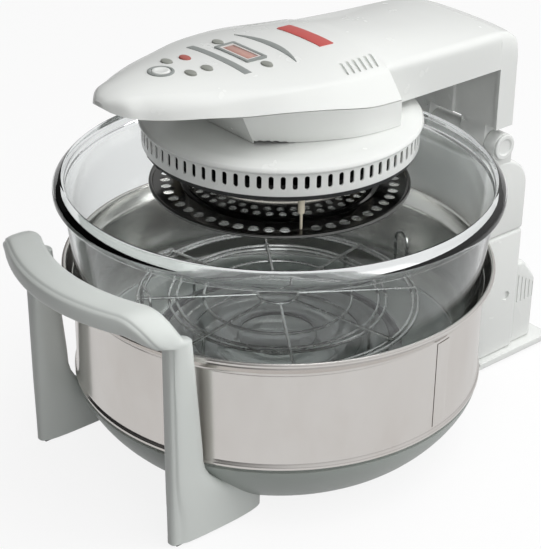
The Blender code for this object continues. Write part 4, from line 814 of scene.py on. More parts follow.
@dataclass(frozen=True)
class Hinge:
    """The lid's hinge, shared by the column's ears and the arm's lugs."""

    y: float = 0.1850
    z: float = 0.2040
    pin: float = 0.0040
    boss: float = 0.0110
    ear: float = 0.0120
    barrel: float = 0.0105
    hub: float = 0.0170
    cap: float = 0.0020
    sleeve: float = 0.0100
    sleeve_wall: float = 0.0020

    def bore(self) -> List[Point2]:
        """The outline of the hole round the pin, in Y and Z."""
        return arc((self.y, self.z), self.pin + SEAM, 0, 348, 29)

    def across(self, place: float, turn: float = 1.0) -> Matrix:
        """The move of a form turned about Z to the pin's axis, at a place along the pin."""
        return Matrix.Translation((place, self.y, self.z)) @ Matrix.Rotation(turn * math.pi / 2, 4, "Y")


@dataclass
class Bowl:
    """The pressed glass bowl and the wire rack in it."""

    rim_radius: float = 0.1700
    rim_width: float = 0.0085
    rim_top: float = 0.2186
    rim_low: float = 0.2046
    rim_inside: Tuple[Point2, ...] = ((-0.0002, -0.0030), (0.0012, 0.0), (0.0034, -0.0018))
    rim_outside: Tuple[Point2, ...] = ((-0.0024, -0.0048), (0.0, -0.0080))
    rim_underside: Tuple[Point2, ...] = ((0.0, 0.0012), (-0.0030, 0.0))
    rim_soft: float = 0.0011
    neck: float = 0.1630
    foot: float = 0.1550
    knee: float = 0.1345
    wall: float = 0.0050
    floor: float = 0.1080
    underside: float = 0.0690
    power: float = 3.2
    floor_rings: Tuple[float, ...] = (0.030, 0.066, 0.088)
    ring_half: float = 0.0012
    ring_depth: float = 0.0007
    rack_radii: Tuple[float, ...] = (0.110, 0.106, 0.085, 0.079, 0.058)
    rack_wire: float = 0.0012
    rack_crossing: float = 1.9
    rack_spokes: int = 8
    rack_hub: float = 0.0160
    rack_lift: float = 0.0343
    leg_circle: float = 0.0880
    leg_end: float = 0.001
    loop_height: float = 0.0320
    loop_width: float = 0.0180
    spoke_start: float = 11.0
    loop_angles: Tuple[float, float] = (76.0, 256.0)

    def profile(self) -> List[Point2]:
        """The section from the middle of the floor, up inside, over the rim and down outside.

        Returns:
            The points in radius and height.
        """
        inner_low = self.underside + self.wall
        outer = dish((self.floor, self.underside), (self.foot, self.knee), self.power, 14)
        inner = dish((self.floor, inner_low), (self.foot - self.wall, self.knee), self.power, 14)
        edge = self.rim_radius - self.rim_width
        corners = [(edge - 0.0012, self.rim_low)]
        corners += [(edge + out, self.rim_top + up) for out, up in self.rim_inside]
        corners += [(self.rim_radius + out, self.rim_top + up) for out, up in self.rim_outside]
        corners += [(self.rim_radius + out, self.rim_low + up) for out, up in self.rim_underside]
        rim = rounded(corners + [(self.neck, self.rim_low - 0.0006)], self.rim_soft, 3)
        rings = []
        for radius in self.floor_rings:
            rings += [(radius, inner_low), (radius + self.ring_half, inner_low - self.ring_depth),
                      (radius + self.ring_half * 2, inner_low)]
        return [(0.0, inner_low)] + rings + inner + rim + list(reversed(outer)) + [(0.0, self.underside)]

    def build(self) -> None:
        """Model the bowl and the rack."""
        bowl = lathe("glass_bowl_turned", self.profile(), 144)
        finished(bowl, Paint.GLASS, Body.BOWL, "glass_bowl")
        bowl.visible_shadow = False
        self.rack()

    def circle(self, radius: float, height: float, sides: int, start: float = 0.0) -> List[Point3]:
        """Points round the bowl's axis."""
        turns = [math.radians(start + 360.0 * i / sides) for i in range(sides)]
        return [(radius * math.cos(t), radius * math.sin(t), height) for t in turns]

    def rack(self) -> None:
        """Rings on crossed spokes, legs below and two lifting loops."""
        floor = self.underside + self.wall + SEAM
        level = floor + self.rack_lift
        over = level + self.rack_wire * self.rack_crossing
        pieces = [wire("ring", self.circle(r, level, 72), self.rack_wire, True) for r in self.rack_radii]
        share = self.rack_hub / self.rack_radii[0]
        for x, y, z in self.circle(self.rack_radii[0], over, self.rack_spokes, self.spoke_start):
            pieces.append(wire("spoke", [(x * share, y * share, z), (x, y, z)], self.rack_wire))
        pieces.append(wire("hub", self.circle(self.rack_hub, over, 32), self.rack_wire, True))
        for x, y, z in self.circle(self.leg_circle, over, self.rack_spokes // 2, self.spoke_start):
            pieces.append(wire("leg", [(x, y, z), (x, y, floor + self.leg_end)], self.rack_wire))
        for angle in self.loop_angles:
            pieces.append(self.loop(math.radians(angle), level))
        finished(joined("wire_rack_bent", pieces), Paint.CHROME, Body.RACK, "wire_rack")

    def loop(self, angle: float, level: float) -> Piece:
        """One lifting loop that stands on the outer ring.

        Args:
            angle: Its place round the rack in radians.
            level: The height of the rings.

        Returns:
            The loop.
        """
        bend = self.loop_width / 2
        at = Vector((math.cos(angle), math.sin(angle), 0.0)) * self.rack_radii[0]
        across = Vector((-math.sin(angle), math.cos(angle), 0.0)) * bend
        points = [at + across + Vector((0, 0, level))]
        for side, rise in arc((0.0, 0.0), 1.0, 0, 180, 12):
            height = level + self.loop_height - bend * (1 - rise)
            points.append(at + across * side + Vector((0, 0, height)))
        points.append(at - across + Vector((0, 0, level)))
        return wire("loop", [tuple(p) for p in points], self.rack_wire)


@dataclass
class Stand:
    """The steel jacket round the bowl, its lap strip, and the pan with its feet below."""

    radius: float = 0.1582
    sheet: float = 0.0010
    top: float = 0.1470
    flare: float = 0.1663
    flare_height: float = 0.0125
    flare_inside: Tuple[float, float] = (-0.0046, 0.0058)
    flare_outside: Tuple[float, float] = (-0.0032, 0.0052)
    roll: float = 0.0018
    groove: Tuple[Point2, ...] = ((0.0020, 0.0016), (-0.0002, 0.0004), (-0.0006, -0.0010), (0.0, -0.0026))
    bead: float = 0.0030
    bead_z: float = 0.0553
    bead_rise: float = 0.0012
    bead_inset: float = 0.0002
    lap_width: float = 0.0140
    lap_depth: float = 0.0007
    lap_angle: float = 8.5
    lap_spans: int = 8
    pan_radius: float = 0.1590
    pan_top: float = 0.0520
    pan_ground: float = 0.0050
    pan_floor: float = 0.1180
    pan_wall: float = 0.0026
    pan_power: float = 1.35
    lip_radius: float = 0.1564
    lip_top: float = 0.0600
    step_radii: Tuple[float, float] = (0.108, 0.106)
    step_rise: float = 0.0012
    leg_room_x: Tuple[float, float] = (0.0746, 0.0904)
    leg_room_y: Tuple[float, float] = (-0.172, -0.0886)
    leg_room_top: float = 0.0204
    foot_circle: float = 0.110
    foot_corners: Tuple[Point2, ...] = (
        (0.0, 0.0), (0.0058, 0.0), (0.0065, 0.0012), (0.0062, 0.0047), (0.0, 0.0047))

    def build(self) -> None:
        """Model the jacket and the pan."""
        self.jacket()
        self.lap()
        self.pan()
        self.feet()

    def jacket(self) -> None:
        """A rolled and flared rim over a straight wall, with a bead at its foot."""
        inner = self.radius - self.sheet
        low = self.top - self.flare_height
        outside = [(self.flare - self.roll * 0.6, self.top - self.roll * 2.6),
                   (self.flare + self.flare_outside[0], low + self.flare_outside[1])]
        outside += [(self.radius + out, low + up) for out, up in self.groove]
        profile = [(self.flare - self.roll * 2.1, self.top - self.roll * 1.2)]
        profile += arc((self.flare - self.roll, self.top - self.roll), self.roll, 150, -80, 10)
        profile += rounded(outside, 0.0014, 3)
        profile += [(self.radius, self.bead_z + self.bead * 1.6)]
        bead = (self.radius - self.bead_inset, self.bead_z + self.bead_rise)
        profile += arc(bead, self.bead * 0.72, 70, -90, 8)
        profile += [(inner, self.bead_z - self.bead * 0.6), (inner, low - 0.0024)]
        profile += [(inner + 0.0012, low + 0.0004)]
        profile += [(self.flare + self.flare_inside[0], low + self.flare_inside[1])]
        jacket = lathe("steel_jacket_spun", profile, 160, closed=True)
        finished(jacket, Paint.STEEL, Body.ROOT, "steel_jacket", limit=Limit.SOFT)

    def lap(self) -> None:
        """The lapped seam: a thin strip that follows the wall."""
        half = math.degrees(self.lap_width / self.radius / 2)
        near, far = self.radius + SEAM, self.radius + self.lap_depth
        low, high = self.bead_z + self.bead + 0.002, self.top - self.flare_height - 0.003
        rings = []
        for i in range(self.lap_spans + 1):
            turn = math.radians(self.lap_angle - half + 2 * half * i / self.lap_spans)
            thick = far if 0 < i < self.lap_spans else near + SEAM / 2
            section = [(near, low), (thick, low), (thick, high), (near, high)]
            rings.append([(r * math.cos(turn), r * math.sin(turn), z) for r, z in section])
        finished(loft("jacket_lap_rolled", rings), Paint.STEEL, Body.ROOT, "jacket_lap_strip")

    def pan(self) -> None:
        """The dished pan with its lip inside the jacket and room for the handle's legs."""
        ground, wall = self.pan_ground, self.pan_wall
        outer = dish((self.pan_floor, ground), (self.pan_radius, self.pan_top), self.pan_power, 12)
        inside = (self.lip_radius - wall, self.pan_top)
        inner = dish((self.pan_floor - wall, ground + wall), inside, self.pan_power, 12)
        profile = [(0.0, ground + wall)] + inner
        profile += [(self.lip_radius - wall, self.lip_top), (self.lip_radius, self.lip_top)]
        profile += [(self.lip_radius, self.pan_top)] + list(reversed(outer))
        profile += [(self.step_radii[0], ground), (self.step_radii[1], ground + self.step_rise)]
        pan = lathe("base_pan_moulded", profile + [(0.0, ground + self.step_rise)], 144)
        for side in (-1, 1):
            xs = sorted(side * x for x in self.leg_room_x)
            front, rear = self.leg_room_y
            cut(pan, block("room", (xs[0], front, -OVERRUN), (xs[1], rear, self.leg_room_top)))
        # The pan's finish is the grey satin plastic darkened as painted shade
        finished(pan, Paint.PAN_GREY, Body.ROOT, "base_pan", slot="grey_satin_plastic")

    def feet(self) -> None:
        """The rubber feet."""
        first = lathe("pan_foot", rounded(self.foot_corners, 0.0006, 2), 28)
        moves = {}
        for word, angle in (("right", 0.0), ("left", 180.0), ("front", 270.0)):
            turn = math.radians(angle)
            place = (self.foot_circle * math.cos(turn), self.foot_circle * math.sin(turn), 0.0)
            moves[f"pan_foot_{word}_moulded"] = Matrix.Translation(place)
        for foot in copies(first, moves):
            finished(foot, Paint.RUBBER, Body.ROOT, foot.name.replace("_moulded", ""))


@dataclass
class Handle:
    """The moulded front handle: one bar on two legs with long feet."""

    half_width: float = 0.0930
    leg_width: float = 0.0150
    front: float = -0.1720
    leg_depth: float = 0.0290
    neck_depth: float = 0.0208
    foot_rear: float = -0.0890
    foot_height: float = 0.0200
    taper: float = 0.0560
    foot_shares: Tuple[float, ...] = (0.0, 0.17, 0.34, 0.48, 0.62, 0.72, 0.82, 1.0)
    neck_shares: Tuple[float, ...] = (0.35, 0.70)
    top: float = 0.1930
    bar: float = 0.0180
    bar_depth: float = 0.0310
    bar_spans: int = 8
    bend: float = 0.0180
    bend_spans: int = 12
    bow: float = 0.0150
    overhang: float = 0.0280
    lean_power: float = 0.42
    pad: float = 0.0015
    section_points: int = 44
    front_power: float = 0.62
    rear_power: float = 0.80
    groove_points: Tuple[int, int] = (37, 38)
    groove: float = 0.0007

    def leg_rows(self) -> List[Tuple[float, ...]]:
        """The stations of the right leg, from its foot to the bend.

        Returns:
            Rows of X, Z, turn in degrees, thickness, front and rear.
        """
        middle = self.half_width - self.leg_width / 2
        floor = self.pad + SEAM
        leg_rear = self.front + self.leg_depth
        knee = self.foot_height + self.taper
        rows = []
        for share in self.foot_shares:
            z = floor + (knee - floor) * share
            ease = 1 - (1 - max(0.0, (z - self.foot_height) / self.taper)) ** 3
            rear = self.foot_rear + (leg_rear - self.foot_rear) * ease
            rows.append((middle, z, 0.0, self.leg_width, self.front, rear))
        rise = self.top - self.bar / 2 - self.bend - knee
        for share in self.neck_shares:
            rear = leg_rear + (self.neck_depth - self.leg_depth) * share
            rows.append((middle, knee + rise * share, 0.0, self.leg_width, self.front, rear))
        return rows

    def bar_rows(self) -> List[Tuple[float, ...]]:
        """The stations of the bend and the bar's right half.

        Returns:
            Rows of X, Z, turn in degrees, thickness, front and rear.
        """
        height = self.top - self.bar / 2
        centre = (self.half_width - self.leg_width / 2 - self.bend, height - self.bend)
        rows = []
        for i, (x, z) in enumerate(arc(centre, self.bend, 0, 90, self.bend_spans)):
            share = i / self.bend_spans
            lean = share ** self.lean_power
            front = self.front - self.overhang * lean
            depth = self.neck_depth + (self.bar_depth - self.neck_depth) * lean
            thick = self.leg_width + (self.bar - self.leg_width) * share
            rows.append((x, z, 90 * share, thick, front, front + depth))
        for i in range(1, self.bar_spans + 1):
            share = 1 - i / self.bar_spans
            front = self.front - self.overhang - self.bow * (1 - share ** 2)
            rows.append((centre[0] * share, height, 90.0, self.bar, front, front + self.bar_depth))
        return rows

    def ring(self, row: Tuple[float, ...], side: int) -> List[Point3]:
        """One rounded section with the parting groove in it.

        Args:
            row: The station.
            side: 1 on the right, -1 on the left.

        Returns:
            The section's points.
        """
        x, z, angle, thick, front, rear = row
        turn = math.radians(angle)
        across = Vector((math.cos(turn), 0.0, math.sin(turn)))
        points = []
        for i in range(self.section_points):
            place = 2 * math.pi * (i + 0.5) / self.section_points
            c, s = math.cos(place), math.sin(place)
            power = self.front_power if s < 0 else self.rear_power
            out = math.copysign(abs(c) ** power, c) * (thick / 2)
            deep = (math.copysign(abs(s) ** power, s) + 1) / 2
            if i in self.groove_points:
                out -= math.copysign(self.groove * 0.4, out)
                deep += self.groove / (rear - front)
            spot = Vector((x, front + (rear - front) * deep, z)) + across * out
            points.append((side * spot.x, spot.y, spot.z))
        return points

    def build(self) -> None:
        """Model the handle."""
        half = self.leg_rows() + self.bar_rows()
        rings = [self.ring(row, 1) for row in half] + [self.ring(row, -1) for row in reversed(half[:-1])]
        handle = loft("front_handle_moulded", rings)
        finished(handle, Paint.SATIN_GREY, Body.ROOT, "front_handle", limit=Limit.SOFT)


@dataclass
class Column:
    """The rear column: base, two casings with the hinge's ears, and the ribbed back cover."""

    hinge: Hinge = Hinge()
    half: float = 0.0570
    front: float = 0.1735
    rear: float = 0.2180
    split: float = 0.1220
    top: float = 0.1900
    shoulder: float = 0.0300
    wall: float = 0.0028
    base_half: float = 0.0620
    base_rear: float = 0.2600
    base_height: float = 0.0080
    base_front: float = 0.0700
    tongue: float = 0.0047
    pad_height: float = 0.0015
    bulge_rear: float = 0.2440
    bulge_top: float = 0.0860
    edge: float = 0.0030
    recess: Point2 = (0.2040, 0.0620)
    recess_radius: float = 0.0042
    recess_depth: float = 0.0020
    grooves: int = 5
    groove_pitch: float = 0.0048
    groove_width: float = 0.0016
    groove_depth: float = 0.0007
    groove_low: float = 0.55
    groove_high: float = 0.86
    groove_drop: float = 0.003

    def outline(self, inset: float, low: float, high: float) -> List[Point2]:
        """The casing's side view, drawn in by a wall.

        Args:
            inset: The wall.
            low: The lower end.
            high: The upper end, the column's top for the upper casing.

        Returns:
            The points in Y and Z.
        """
        line = [(self.front + inset, low), (self.rear - inset, low)]
        if high < self.top:
            return line + [(self.rear - inset, high), (self.front + inset, high)]
        centre = (self.rear - self.shoulder, self.top - self.shoulder)
        line += arc(centre, self.shoulder - inset, 0, 90, 14)
        return line + [(self.front + inset, self.top - inset)]

    def casing(self, name: str, low: float, high: float, over: Point2) -> Piece:
        """A casing with rounded edges, hollow and open.

        Args:
            name: Its name.
            low: Its lower end.
            high: Its upper end.
            over: The hollow's lower and upper end.

        Returns:
            The casing.
        """
        made = slab(name, self.outline(0.0, low, high), -self.half, self.half)
        bevelled(made, self.edge, 4, 60)
        inside = self.outline(self.wall, *over)
        return cut(made, slab("hollow", inside, self.wall - self.half, self.half - self.wall))

    def build(self) -> None:
        """Model the column and what turns on it."""
        self.base()
        self.lower()
        self.upper()
        self.back()
        self.caps()

    def base(self) -> None:
        """The base plate with its tongue under the pan."""
        low = self.pad_height + SEAM
        outline = [(self.base_front, low), (self.base_rear, low), (self.base_rear, self.base_height),
                   (self.front, self.base_height), (self.front, self.tongue), (self.base_front, self.tongue)]
        base = bevelled(slab("column_base_moulded", outline, -self.base_half, self.base_half), 0.0009, 3)
        finished(base, Paint.GLOSS_WHITE, Body.ROOT, "column_base")

    def lower(self) -> None:
        """The lower casing, open below, with a screw's recess on each side."""
        start = self.base_height + SEAM
        through = (start - OVERRUN, self.split + OVERRUN)
        casing = self.casing("column_lower_moulded", start, self.split, through)
        for side in (-1, 1):
            deep = sorted((side * (self.half - self.recess_depth), side * (self.half + OVERRUN)))
            cut(casing, slab("recess", arc(self.recess, self.recess_radius, 0, 345, 23), *deep))
        finished(casing, Paint.GLOSS_WHITE, Body.ROOT, "column_lower_casing", limit=Limit.CRISP)

    def upper(self) -> None:
        """The upper casing with its rounded shoulder and the two ears that hold the pin."""
        through = (self.split - OVERRUN, self.top)
        casing = self.casing("column_upper_moulded", self.split + SEAM, self.top, through)
        foot = self.top - self.wall * 0.75
        y, z, boss = self.hinge.y, self.hinge.z, self.hinge.boss
        line = [(y - boss, foot), (y + boss, foot)] + arc((y, z), boss, 0, 180, 30)
        for side in (-1, 1):
            xs = sorted((side * (self.half - SEAM), side * (self.half - self.hinge.ear)))
            cut(casing, bevelled(slab("ear", line, *xs), 0.0008, 2, 50), "UNION")
        cut(casing, slab("bore", self.hinge.bore(), -self.half * 2, self.half * 2))
        finished(casing, Paint.GLOSS_WHITE, Body.ROOT, "column_upper_casing", limit=Limit.CRISP)

    def back(self) -> None:
        """The bulged back cover with upright grooves on its sides."""
        low, front, half = self.base_height + SEAM, self.rear + SEAM, self.half - self.edge
        slope = (self.bulge_rear - front) * 0.8
        line = [(front, low), (self.bulge_rear, low), (self.bulge_rear, self.bulge_top - slope),
                (front + slope * 0.5, self.bulge_top), (front, self.bulge_top)]
        cover = bevelled(slab("column_back_moulded", line, -half, half), self.edge, 4, 25)
        for side in (-1, 1):
            xs = sorted((side * (half - self.groove_depth), side * (half + OVERRUN)))
            for i in range(self.grooves):
                y = front + self.edge + self.groove_pitch * i
                top = self.bulge_top * self.groove_high - self.groove_drop * i
                foot = self.bulge_top * self.groove_low
                cut(cover, block("groove", (xs[0], y, foot), (xs[1], y + self.groove_width, top)))
        finished(cover, Paint.GLOSS_WHITE, Body.ROOT, "column_back_cover", limit=Limit.CRISP)

    def caps(self) -> None:
        """The dished caps on the pin's ends and the sleeve between the lugs."""
        r, t = self.hinge.boss - SEAM, self.hinge.cap
        line = rounded([(0.0, t * 0.45), (r * 0.55, t * 0.45), (r * 0.66, t), (r - 0.0006, t),
                        (r, t * 0.6), (r, 0.0), (0.0, 0.0)], 0.0005, 3)
        moves = {"hinge_cap_right_moulded": self.hinge.across(self.half),
                 "hinge_cap_left_moulded": self.hinge.across(-self.half, -1.0)}
        for cap in copies(lathe("cap", line, 48), moves):
            finished(cap, Paint.GLOSS_WHITE, Body.ROOT, cap.name.replace("_moulded", ""))
        outside, reach = self.hinge.sleeve, self.hinge.hub - SEAM
        bore = outside - self.hinge.sleeve_wall
        tube = rounded([(bore, -reach), (outside, -reach), (outside, reach), (bore, reach)], 0.0006, 3, True)
        moves = {"hinge_sleeve_moulded": self.hinge.across(0.0)}
        sleeve, = copies(lathe("sleeve", tube, 48, closed=True), moves)
        finished(sleeve, Paint.GLOSS_WHITE, Body.ROOT, "hinge_sleeve")


@dataclass
class Arm:
    """The hinged arm: a long swelling cover, its leg at the rear, and all that its top carries.

    The shares' rows are reach, lower width and height, widest width and height, top, and softness of the
    crease. Behind the belly the lower edge is straight, so those rows leave it out, and the end's keep only
    the heights.
    """

    hinge: Hinge = Hinge()
    low: float = 0.2720
    height: float = 0.0490
    wall: float = 0.0026
    nose: float = -0.1600
    half: float = 0.0570
    belly: float = 0.0800
    belly_rear: float = 0.0460
    step: float = 0.0030
    leg_front: float = 0.1740
    leg_rear: float = 0.1930
    leg_low: float = 0.2210
    crown: float = 2.4
    soft_side: float = 0.8
    soft_top: float = 0.35
    row_spans: int = 5
    crease_spans: int = 6
    crown_spans: int = 12
    nose_shares: Tuple[Tuple[float, ...], ...] = (
        (0.000, 0.060, 0.755, 0.055, 0.806, 0.820, 0.90),
        (0.015, 0.140, 0.705, 0.125, 0.833, 0.878, 0.90),
        (0.050, 0.262, 0.657, 0.238, 0.848, 0.930, 0.85),
        (0.100, 0.345, 0.622, 0.312, 0.845, 0.970, 0.80),
        (0.170, 0.470, 0.610, 0.425, 0.837, 0.994, 0.70),
        (0.270, 0.612, 0.604, 0.550, 0.833, 1.000, 0.55),
        (0.390, 0.738, 0.567, 0.656, 0.831, 0.984, 0.40),
        (0.530, 0.875, 0.549, 0.776, 0.814, 0.960, 0.22),
        (0.680, 0.962, 0.476, 0.845, 0.782, 0.943, 0.15),
        (0.780, 0.995, 0.402, 0.860, 0.755, 0.943, 0.15),
        (0.870, 0.995, 0.335, 0.844, 0.718, 0.943, 0.15),
        (1.000, 0.988, 0.298, 0.805, 0.673, 0.930, 0.18),
    )
    rear_shares: Tuple[Tuple[float, ...], ...] = (
        (0.000, 1.070, 0.655, 0.930, 0.20),
        (0.350, 1.035, 0.620, 0.800, 0.25),
        (0.700, 1.012, 0.600, 0.700, 0.30),
        (0.850, 0.988, 0.585, 0.650, 0.30),
    )
    end_shares: Tuple[Tuple[float, ...], ...] = ((0.60, 0.540, 0.600), (1.00, 0.430, 0.500))
    keys: Dict[str, Point2] = field(default_factory=lambda: {
        "timer_button": (-0.0137, -0.0930),
        "stop_button": (-0.0125, -0.0780),
        "warmer_button": (0.0137, -0.0930),
        "minus_button": (0.0125, -0.0780),
        "plus_button": (-0.0275, -0.0370),
        "light_button": (0.0275, -0.0370),
    })
    red_key: str = "stop_button"
    key_half: Point2 = (0.0050, 0.0036)
    key_proud: float = 0.0012
    key_shelf: float = 0.0106
    key_flange: float = 0.0012
    key_edge: Tuple[Point2, ...] = ((0.0, -0.0007), (-0.0002, -0.0003), (-0.0006, -0.0001), (-0.0014, 0.0),
                                    (-0.0030, 0.0001))
    start_edge: Tuple[Point2, ...] = ((0.0, -0.0008), (-0.0003, -0.0003), (-0.0009, 0.0), (-0.0022, -0.0001),
                                      (-0.0034, -0.0004), (-0.0052, -0.0005))
    start_radius: float = 0.0066
    start_y: float = -0.1080
    start_ring: Tuple[Point2, ...] = (
        (0.0005, -0.0004), (0.0030, -0.0004), (0.0028, 0.0007), (0.0008, 0.0009))
    display_y: float = -0.0383
    display_half: Point2 = (0.0190, 0.00925)
    display_room: Point2 = (0.0028, 0.0026)
    border_inset: Point2 = (0.0029, 0.0027)
    border_room: Point2 = (0.0046, 0.0043)
    window_inset: Point2 = (0.0048, 0.0045)
    vents: int = 6
    vent_pitch: float = 0.0063
    vent_start: float = 0.0095
    vent_edge: float = 0.0045
    vent_size: Point2 = (0.0150, 0.0028)
    vent_slant: float = 19.0
    vent_deep: float = 0.0019
    inlay_sink: float = 0.0004
    inlay_edge: float = 0.12
    crescent_half: float = 0.0350
    crescent_depth: float = 0.0030
    crescent_bow: float = 0.006
    crescent_y: float = -0.010
    crescent_tip: float = 0.0001
    setback: float = 0.0020
    panel_sheet: float = 0.0022
    rib: float = 0.0100
    lug_top: float = 0.026
    lug_half: float = 0.0048
    screw: Point2 = (0.021, 0.2195)
    screw_radius: float = 0.0026
    screw_depth: float = 0.0012

    def front_rows(self) -> List[Tuple[float, ...]]:
        """The stations of the nose and belly in metres, smoothed.

        Returns:
            Rows of Y, lower width and height, widest width and height, top, and softness.
        """
        rows = []
        for reach, low_w, low_z, wide_w, wide_z, top, soft in self.nose_shares:
            y = self.nose + (self.belly_rear - self.nose) * reach
            rows.append((y, self.belly * low_w, self.low + self.height * low_z, self.belly * wide_w,
                         self.low + self.height * wide_z, self.low + self.height * top, soft))
        return eased(rows, self.row_spans)

    def rear_rows(self) -> List[Tuple[float, ...]]:
        """The stations behind the belly, down to the leg's rear face.

        Returns:
            Rows like the front's.
        """
        start = self.belly_rear + self.step
        rows = []
        for reach, wide_w, wide_z, top, soft in self.rear_shares:
            y = start + (self.leg_front - start) * reach / self.rear_shares[-1][0]
            rows.append((y, self.half, self.low, self.half * wide_w, self.low + self.height * wide_z,
                         self.low + self.height * top, soft))
        rows = eased(rows, self.row_spans)
        last = rows[-1]
        rows.append((self.leg_front + SEAM, self.half, self.leg_low, *last[3:]))
        for reach, wide_z, top in self.end_shares:
            y = self.leg_front + (self.leg_rear - self.leg_front) * reach
            rows.append((y, self.half, self.leg_low, last[3], self.low + self.height * wide_z,
                         self.low + self.height * top, last[6]))
        return rows

    def row(self, y: float) -> Tuple[float, ...]:
        """The station at a place along the arm.

        Args:
            y: The place.

        Returns:
            A row like the front's, between its neighbours.
        """
        rows = self.front_rows() + self.rear_rows()
        for near, far in zip(rows, rows[1:]):
            if y <= far[0]:
                share = max(0.0, (y - near[0]) / (far[0] - near[0]))
                return tuple(a + (b - a) * share for a, b in zip(near, far))
        return rows[-1]

    def over(self, x: float, y: float) -> float:
        """The height of the cover over a place.

        Args:
            x: The place across.
            y: The place along.

        Returns:
            The height.
        """
        wide, side, top = self.row(y)[3:6]
        return side + (top - side) * (1 - min(1.0, abs(x) / wide) ** self.crown)

    def section(self, row: Tuple[float, ...]) -> List[Point3]:
        """The cover's section: up one side, over a soft crease and the crown, and down the other side.

        Args:
            row: The station.

        Returns:
            The section's points.
        """
        y, low_w, low_z, wide, side, top, soft = row
        back = soft * self.soft_side
        near = wide * (1 - self.soft_top * soft)
        start = (wide + (low_w - wide) * back, side + (low_z - side) * back)
        end = (near, side + (top - side) * (1 - (near / wide) ** self.crown))
        half = []
        for share in (0.0, 0.35, 0.70):
            half.append((low_w + (start[0] - low_w) * share, low_z + (start[1] - low_z) * share))
        for i in range(self.crease_spans + 1):
            t = i / self.crease_spans
            a, b, c = (1 - t) ** 2, 2 * t * (1 - t), t * t
            half.append((a * start[0] + b * wide + c * end[0], a * start[1] + b * side + c * end[1]))
        for i in range(1, self.crown_spans):
            share = near / wide * math.cos(math.pi / 2 * i / self.crown_spans)
            half.append((wide * share, side + (top - side) * (1 - share ** self.crown)))
        points = [(x, y, z) for x, z in half] + [(0.0, y, top)]
        return points + [(-x, y, z) for x, z in reversed(half)]

    def inner(self, row: Tuple[float, ...], y: float) -> Tuple[float, ...]:
        """A station of the hollow: a wall inside an outer one, and open below.

        Args:
            row: The outer station.
            y: The hollow's place along the arm.

        Returns:
            The hollow's station.
        """
        _, low_w, low_z, wide, side, top, soft = row
        return (y, max(0.0010, low_w - self.wall), low_z - OVERRUN, max(0.0008, wide - self.wall),
                side - self.wall / 2, top - self.wall, soft)

    def build(self) -> None:
        """Model the cover, the leg's panel, the keys and the inlays."""
        self.cover()
        self.leg_panel()
        self.key_row()
        self.start_key()
        self.display()
        self.inlays()

    def hollow(self) -> Piece:
        """The tool that hollows the cover, from the nose to the leg's rear wall.

        Returns:
            The tool.
        """
        wall = self.wall
        rows: List[Tuple[float, ...]] = []
        for row in self.front_rows():
            y = min(max(row[0], self.nose + wall * 1.5), self.belly_rear - wall)
            if not rows or y > rows[-1][0] + SEAM / 3:
                rows.append(self.inner(self.row(y), y))
        rear = self.rear_rows()
        rows.append(self.inner(self.row(self.belly_rear + self.step), self.belly_rear - wall + SEAM))
        rows += [self.inner(row, row[0]) for row in rear[1:-4]]
        before = self.inner(rear[-4], rear[-4][0])
        rows.append((self.leg_front - 0.002, *before[1:]))
        rows.append((self.leg_front - 0.001, before[1], self.leg_low - OVERRUN, *before[3:]))
        for row in rear[-2:]:
            y = min(row[0], self.leg_rear - wall)
            rows.append(self.inner(self.row(y), y))
        return loft("hollow", [self.section(row) for row in rows])

    def cover(self) -> None:
        """The shell, hollow and open below, with holes for the keys, the display and the vents."""
        rows = self.front_rows() + self.rear_rows()
        shell = loft("arm_cover_moulded", [self.section(row) for row in rows])
        cut(shell, self.hollow())
        for x, y in self.keys.values():
            top = self.over(x, y)
            levels = [(SEAM, top - OVERRUN), (SEAM, top + OVERRUN)]
            cut(shell, self.oval("hole", (x, y), self.key_half, levels))
        top = self.over(0.0, self.start_y)
        levels = [(SEAM, top - OVERRUN), (SEAM, top + OVERRUN)]
        round_half = (self.start_radius, self.start_radius)
        cut(shell, self.oval("hole", (0.0, self.start_y), round_half, levels))
        top = self.over(0.0, self.display_y)
        across, along = (size - 0.0045 for size in self.display_half)
        cut(shell, block("window", (-across, self.display_y - along, top - OVERRUN * 2),
                         (across, self.display_y + along, top + OVERRUN)))
        places = [self.vent_start + self.vent_pitch * i for i in range(self.vents)]
        for slot in [self.vent(side, y) for side in (-1, 1) for y in places]:
            cut(shell, slot)
        finished(shell, Paint.GLOSS_WHITE, Body.LID, "arm_cover")

    def vent(self, side: int, y: float) -> Piece:
        """The tool for one blind vent slot, slanted and with round ends.

        Args:
            side: 1 on the right, -1 on the left.
            y: The slot's place along the arm.

        Returns:
            The tool.
        """
        long, width = self.vent_size
        x = side * (self.row(y)[3] - self.vent_edge - long / 2)
        slant = math.radians(-side * self.vent_slant)
        line = []
        for end, first in ((1, -90.0), (-1, 90.0)):
            line += arc((end * (long - width) / 2, 0.0), width / 2, first, first + 180.0, 8)
        line = [(x + a * math.cos(slant) - b * math.sin(slant), y + a * math.sin(slant) + b * math.cos(slant))
                for a, b in line]
        rises = (-self.vent_deep, OVERRUN)
        return loft("vent", [[(a, b, self.over(a, b) + rise) for a, b in line] for rise in rises])

    def oval(self, name: str, place: Point2, half: Point2, levels: Sequence[Point2]) -> Piece:
        """An upright oval or round form.

        Args:
            name: Its name.
            place: Its middle.
            half: Half its length across and along.
            levels: Its growth over the oval and its height, station by station.

        Returns:
            The form.
        """
        circle = arc((0.0, 0.0), 1.0, 0, 351, 39)
        rings = []
        for grow, z in levels:
            long, short = half[0] + grow, half[1] + grow
            rings.append([(place[0] + long * c, place[1] + short * s, z) for c, s in circle])
        return loft(name, rings)

